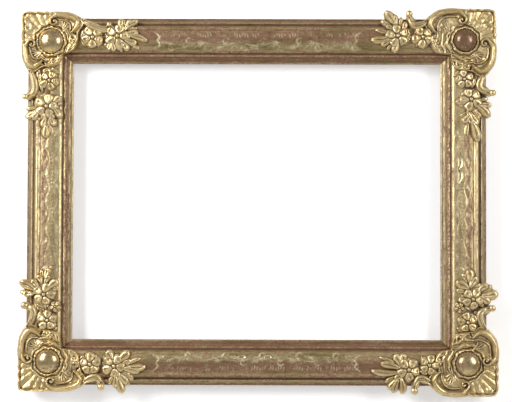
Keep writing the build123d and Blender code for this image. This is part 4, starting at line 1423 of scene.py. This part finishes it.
@dataclass
class Bosses:
    """The four domed bosses."""

    seat: float = 37.2
    edge: float = 39.6
    rise: float = 11.8
    play: float = 0.3
    steps: int = 8
    sides: int = 40

    def build(self, material: bpy.types.Material) -> bpy.types.Object:
        """Turn the four bosses as one piece.

        Args:
            material: their finish.

        Returns:
            The bosses as a piece.
        """
        whole = bmesh.new()
        for plan in CORNER_PLANS:
            radius = plan.boss_radius * RAIL - self.play
            heart = Vector(plan.boss) * RAIL
            part = bmesh.new()
            profile = [(0.0, self.seat), (radius, self.seat), (radius, self.edge)]
            for step in range(1, self.steps):
                lean = pi / 2 * step / self.steps
                profile.append((radius * cos(lean), self.edge + self.rise * sin(lean)))
            profile.append((0.0, self.edge + self.rise))
            verts = [part.verts.new((heart.x + out, heart.y, height)) for out, height in profile]
            edges = [part.edges.new(pair) for pair in zip(verts, verts[1:])]
            bmesh.ops.spin(part, geom=[*verts, *edges], cent=(heart.x, heart.y, 0), axis=(0, 0, 1),
                           angle=2 * pi, steps=self.sides, use_merge=True)
            bmesh.ops.remove_doubles(part, verts=part.verts[:], dist=0.001)
            fill_layer(part, "rub", plan.boss_rub)
            fill_layer(part, "tone", 0.3 - 0.6 * plan.boss_rub)
            bmesh.ops.transform(part, matrix=plan.corner.to_frame(), verts=part.verts[:])
            data = bpy.data.meshes.new("boss")
            part.to_mesh(data)
            part.free()
            whole.from_mesh(data)
            bpy.data.meshes.remove(data)
        return finish_mesh(whole, "corner_bosses_turned", material, ["corner_bosses"])


@dataclass
class Studio:
    """The wall behind the frame, the floor, the lamps and the camera."""

    wall_behind: float = 0.008
    camera_place: tuple[float, float, float] = (0.00761, -2.6, -0.08861)
    yaw: float = 0.00334
    pitch: float = 0.03461
    roll: float = -0.00313
    focal_pixels: float = 1585.88
    image_width: int = 512
    sensor_width: float = 36.0
    lamps: tuple[tuple[str, tuple[float, float, float], tuple[float, float], float], ...] = (
        ("left softbox", (-1.75, -1.6, 0.9), (0.9, 1.3), 54),
        ("right softbox", (1.75, -1.7, 0.6), (0.9, 1.3), 28),
        ("back softbox", (0.6, 2.0, 0.7), (1.6, 1.2), 26),
    )

    def plane(self, name: str, matrix: Matrix, size: float, material: bpy.types.Material) -> None:
        """Make one stage plane.

        Args:
            name: its name.
            matrix: its place and lie.
            size: half its side in metres.
            material: its finish.
        """
        mesh = bmesh.new()
        bmesh.ops.create_grid(mesh, x_segments=1, y_segments=1, size=size, matrix=matrix)
        new_object(mesh, name, material)

    def wall_material(self) -> bpy.types.Material:
        """Build the wall's white, which is seen from the front only and keeps the frame's shadow."""
        material, sheet, shader = new_material("white wall")
        sheet.tree.nodes.remove(shader)
        ray = sheet.add("ShaderNodeLightPath").outputs
        behind = sheet.add("ShaderNodeNewGeometry").outputs["Backfacing"]
        paper = sheet.add("ShaderNodeBsdfDiffuse", {"Color": (0.92, 0.92, 0.92, 1)})
        glow = sheet.add("ShaderNodeEmission", {"Color": (1, 1, 1, 1), "Strength": 0.35})
        seen = sheet.add("ShaderNodeAddShader", {0: paper.outputs[0], 1: glow.outputs[0]})
        bright = sheet.add("ShaderNodeEmission", {"Color": (1, 1, 1, 1), "Strength": 0.8})
        clear = sheet.add("ShaderNodeBsdfTransparent")
        reflected = sheet.add("ShaderNodeMixShader", {
            0: ray["Is Glossy Ray"], 1: clear.outputs[0], 2: bright.outputs[0],
        })
        front = sheet.add("ShaderNodeMixShader", {
            0: ray["Is Camera Ray"], 1: reflected.outputs[0], 2: seen.outputs[0],
        })
        whole = sheet.add("ShaderNodeMixShader", {0: behind, 1: front.outputs[0], 2: clear.outputs[0]})
        sheet.fill(sheet.tree.nodes["Material Output"], {"Surface": whole.outputs[0]})
        return material

    def floor_material(self) -> bpy.types.Material:
        """Build the floor's pale grey."""
        material, sheet, shader = new_material("pale floor")
        sheet.fill(shader, {"Base Color": (0.85, 0.85, 0.85, 1), "Roughness": 0.8})
        return material

    def lamp(self, name: str, place: tuple[float, float, float], size: tuple[float, float],
             power: float) -> None:
        """Hang one soft lamp that faces the frame.

        Args:
            name: its name.
            place: where it hangs, in metres.
            size: its width and height.
            power: its power in watts.
        """
        light = bpy.data.lights.new(name, "AREA")
        light.shape = "RECTANGLE"
        light.size, light.size_y = size
        light.energy = power
        lamp = bpy.data.objects.new(name, light)
        lamp.location = place
        lamp.rotation_euler = (-Vector(place)).to_track_quat("-Z", "Y").to_euler()
        bpy.context.scene.collection.objects.link(lamp)

    def build(self) -> None:
        """Set the wall, floor, lamps, world and camera."""
        upright = Matrix.Translation((0, self.wall_behind, 0)) @ Matrix.Rotation(radians(90), 4, "X")
        self.plane("wall", upright, 3.0, self.wall_material())
        self.plane("floor", Matrix.Translation((0, 0, -1.5)), 5.0, self.floor_material())
        for lamp in self.lamps:
            self.lamp(*lamp)
        world = bpy.data.worlds.new("room")
        bpy.context.scene.world = world
        world.use_nodes = True
        sheet = Sheet(world.node_tree)
        ray = sheet.add("ShaderNodeLightPath").outputs["Is Camera Ray"]
        colour = sheet.blend(ray, (0.23, 0.23, 0.23, 1), (1, 1, 1, 1))
        sheet.fill(sheet.tree.nodes["Background"], {"Color": colour, "Strength": 1.0})
        self.camera()
        bpy.context.scene.view_settings.view_transform = "Standard"

    def camera(self) -> None:
        """Place the camera as the photograph was taken."""
        data = bpy.data.cameras.new("camera")
        data.sensor_width = self.sensor_width
        data.lens = self.focal_pixels / self.image_width * self.sensor_width
        data.clip_start, data.clip_end = 0.05, 30
        camera = bpy.data.objects.new("camera", data)
        turn = (
            Matrix.Rotation(self.yaw, 3, "Z") @ Matrix.Rotation(self.pitch, 3, "X")
            @ Matrix.Rotation(self.roll, 3, "Y") @ Matrix.Rotation(radians(90), 3, "X")
        )
        camera.matrix_world = Matrix.Translation(self.camera_place) @ turn.to_4x4()
        bpy.context.scene.collection.objects.link(camera)
        bpy.context.scene.camera = camera


def dress(nodes: list[str], material: bpy.types.Material) -> None:
    """Give solids that stay as they are a finish."""
    for name in nodes:
        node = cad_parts[name]
        node.data.materials.clear()
        node.data.materials.append(material)


def main() -> None:
    """Build every piece in order."""
    logging.basicConfig(level=logging.INFO, format="%(message)s")
    wear = leaf_wear_and_light_group()
    level_gilt = Gilding("level rail gilding", (0.44, 0.33, 0.145), Grain.LEVEL, rubbed=0.80, dirt=0.95,
                         tarnish=0.55).build(wear)
    upright_gilt = Gilding("upright rail gilding", (0.65, 0.50, 0.26), Grain.UPRIGHT, rubbed=0.55,
                           dirt=0.85).build(wear)
    carved_gilt = Gilding("carving gilding", (0.72, 0.54, 0.255), rubbed=0.42, dirt=1.25,
                          bump=0.0003).build(wear)
    boss_gilt = Gilding("boss gilding", (0.68, 0.51, 0.25), bole=(0.17, 0.06, 0.04), rubbed=0.62, dirt=0.6,
                        bump=0.00015, gloss=0.60).build(wear)
    gilded = []
    for name, level, far in RAILS:
        gilded.append(Rail(name, level, far).build(level_gilt if level else upright_gilt))
    for plan in CORNER_PLANS:
        gilded.append(Cartouche(plan).build(carved_gilt))
        for run, reach in zip(Run, plan.reach):
            gilded.append(Spray(plan.corner, run, reach).build(carved_gilt))
            gilded.append(CurledLeaf(plan.corner, run, reach).build(carved_gilt))
    gilded.append(Bosses().build(boss_gilt))
    OpennessAndCrest(gilded).lay()
    corners = [plan.corner.label for plan in CORNER_PLANS]
    dress([f"{corner}_mitre_key" for corner in corners], BareWood("key wood").build())
    dress([f"{side}_button" for side in ("top", "bottom", "left", "right")],
          PlainMetal("dull brass", (0.50, 0.36, 0.15)).build())
    brass = PlainMetal("hanger brass", (0.58, 0.42, 0.18), 0.28).build()
    dress(["left_hanger_strap", "right_hanger_strap", "left_hanger_ring", "right_hanger_ring"], brass)
    dress(["button_screws", "hanger_screws"], PlainMetal("screw steel", (0.35, 0.35, 0.36)).build())
    Studio().build()


if __name__ == "__main__":
    main()
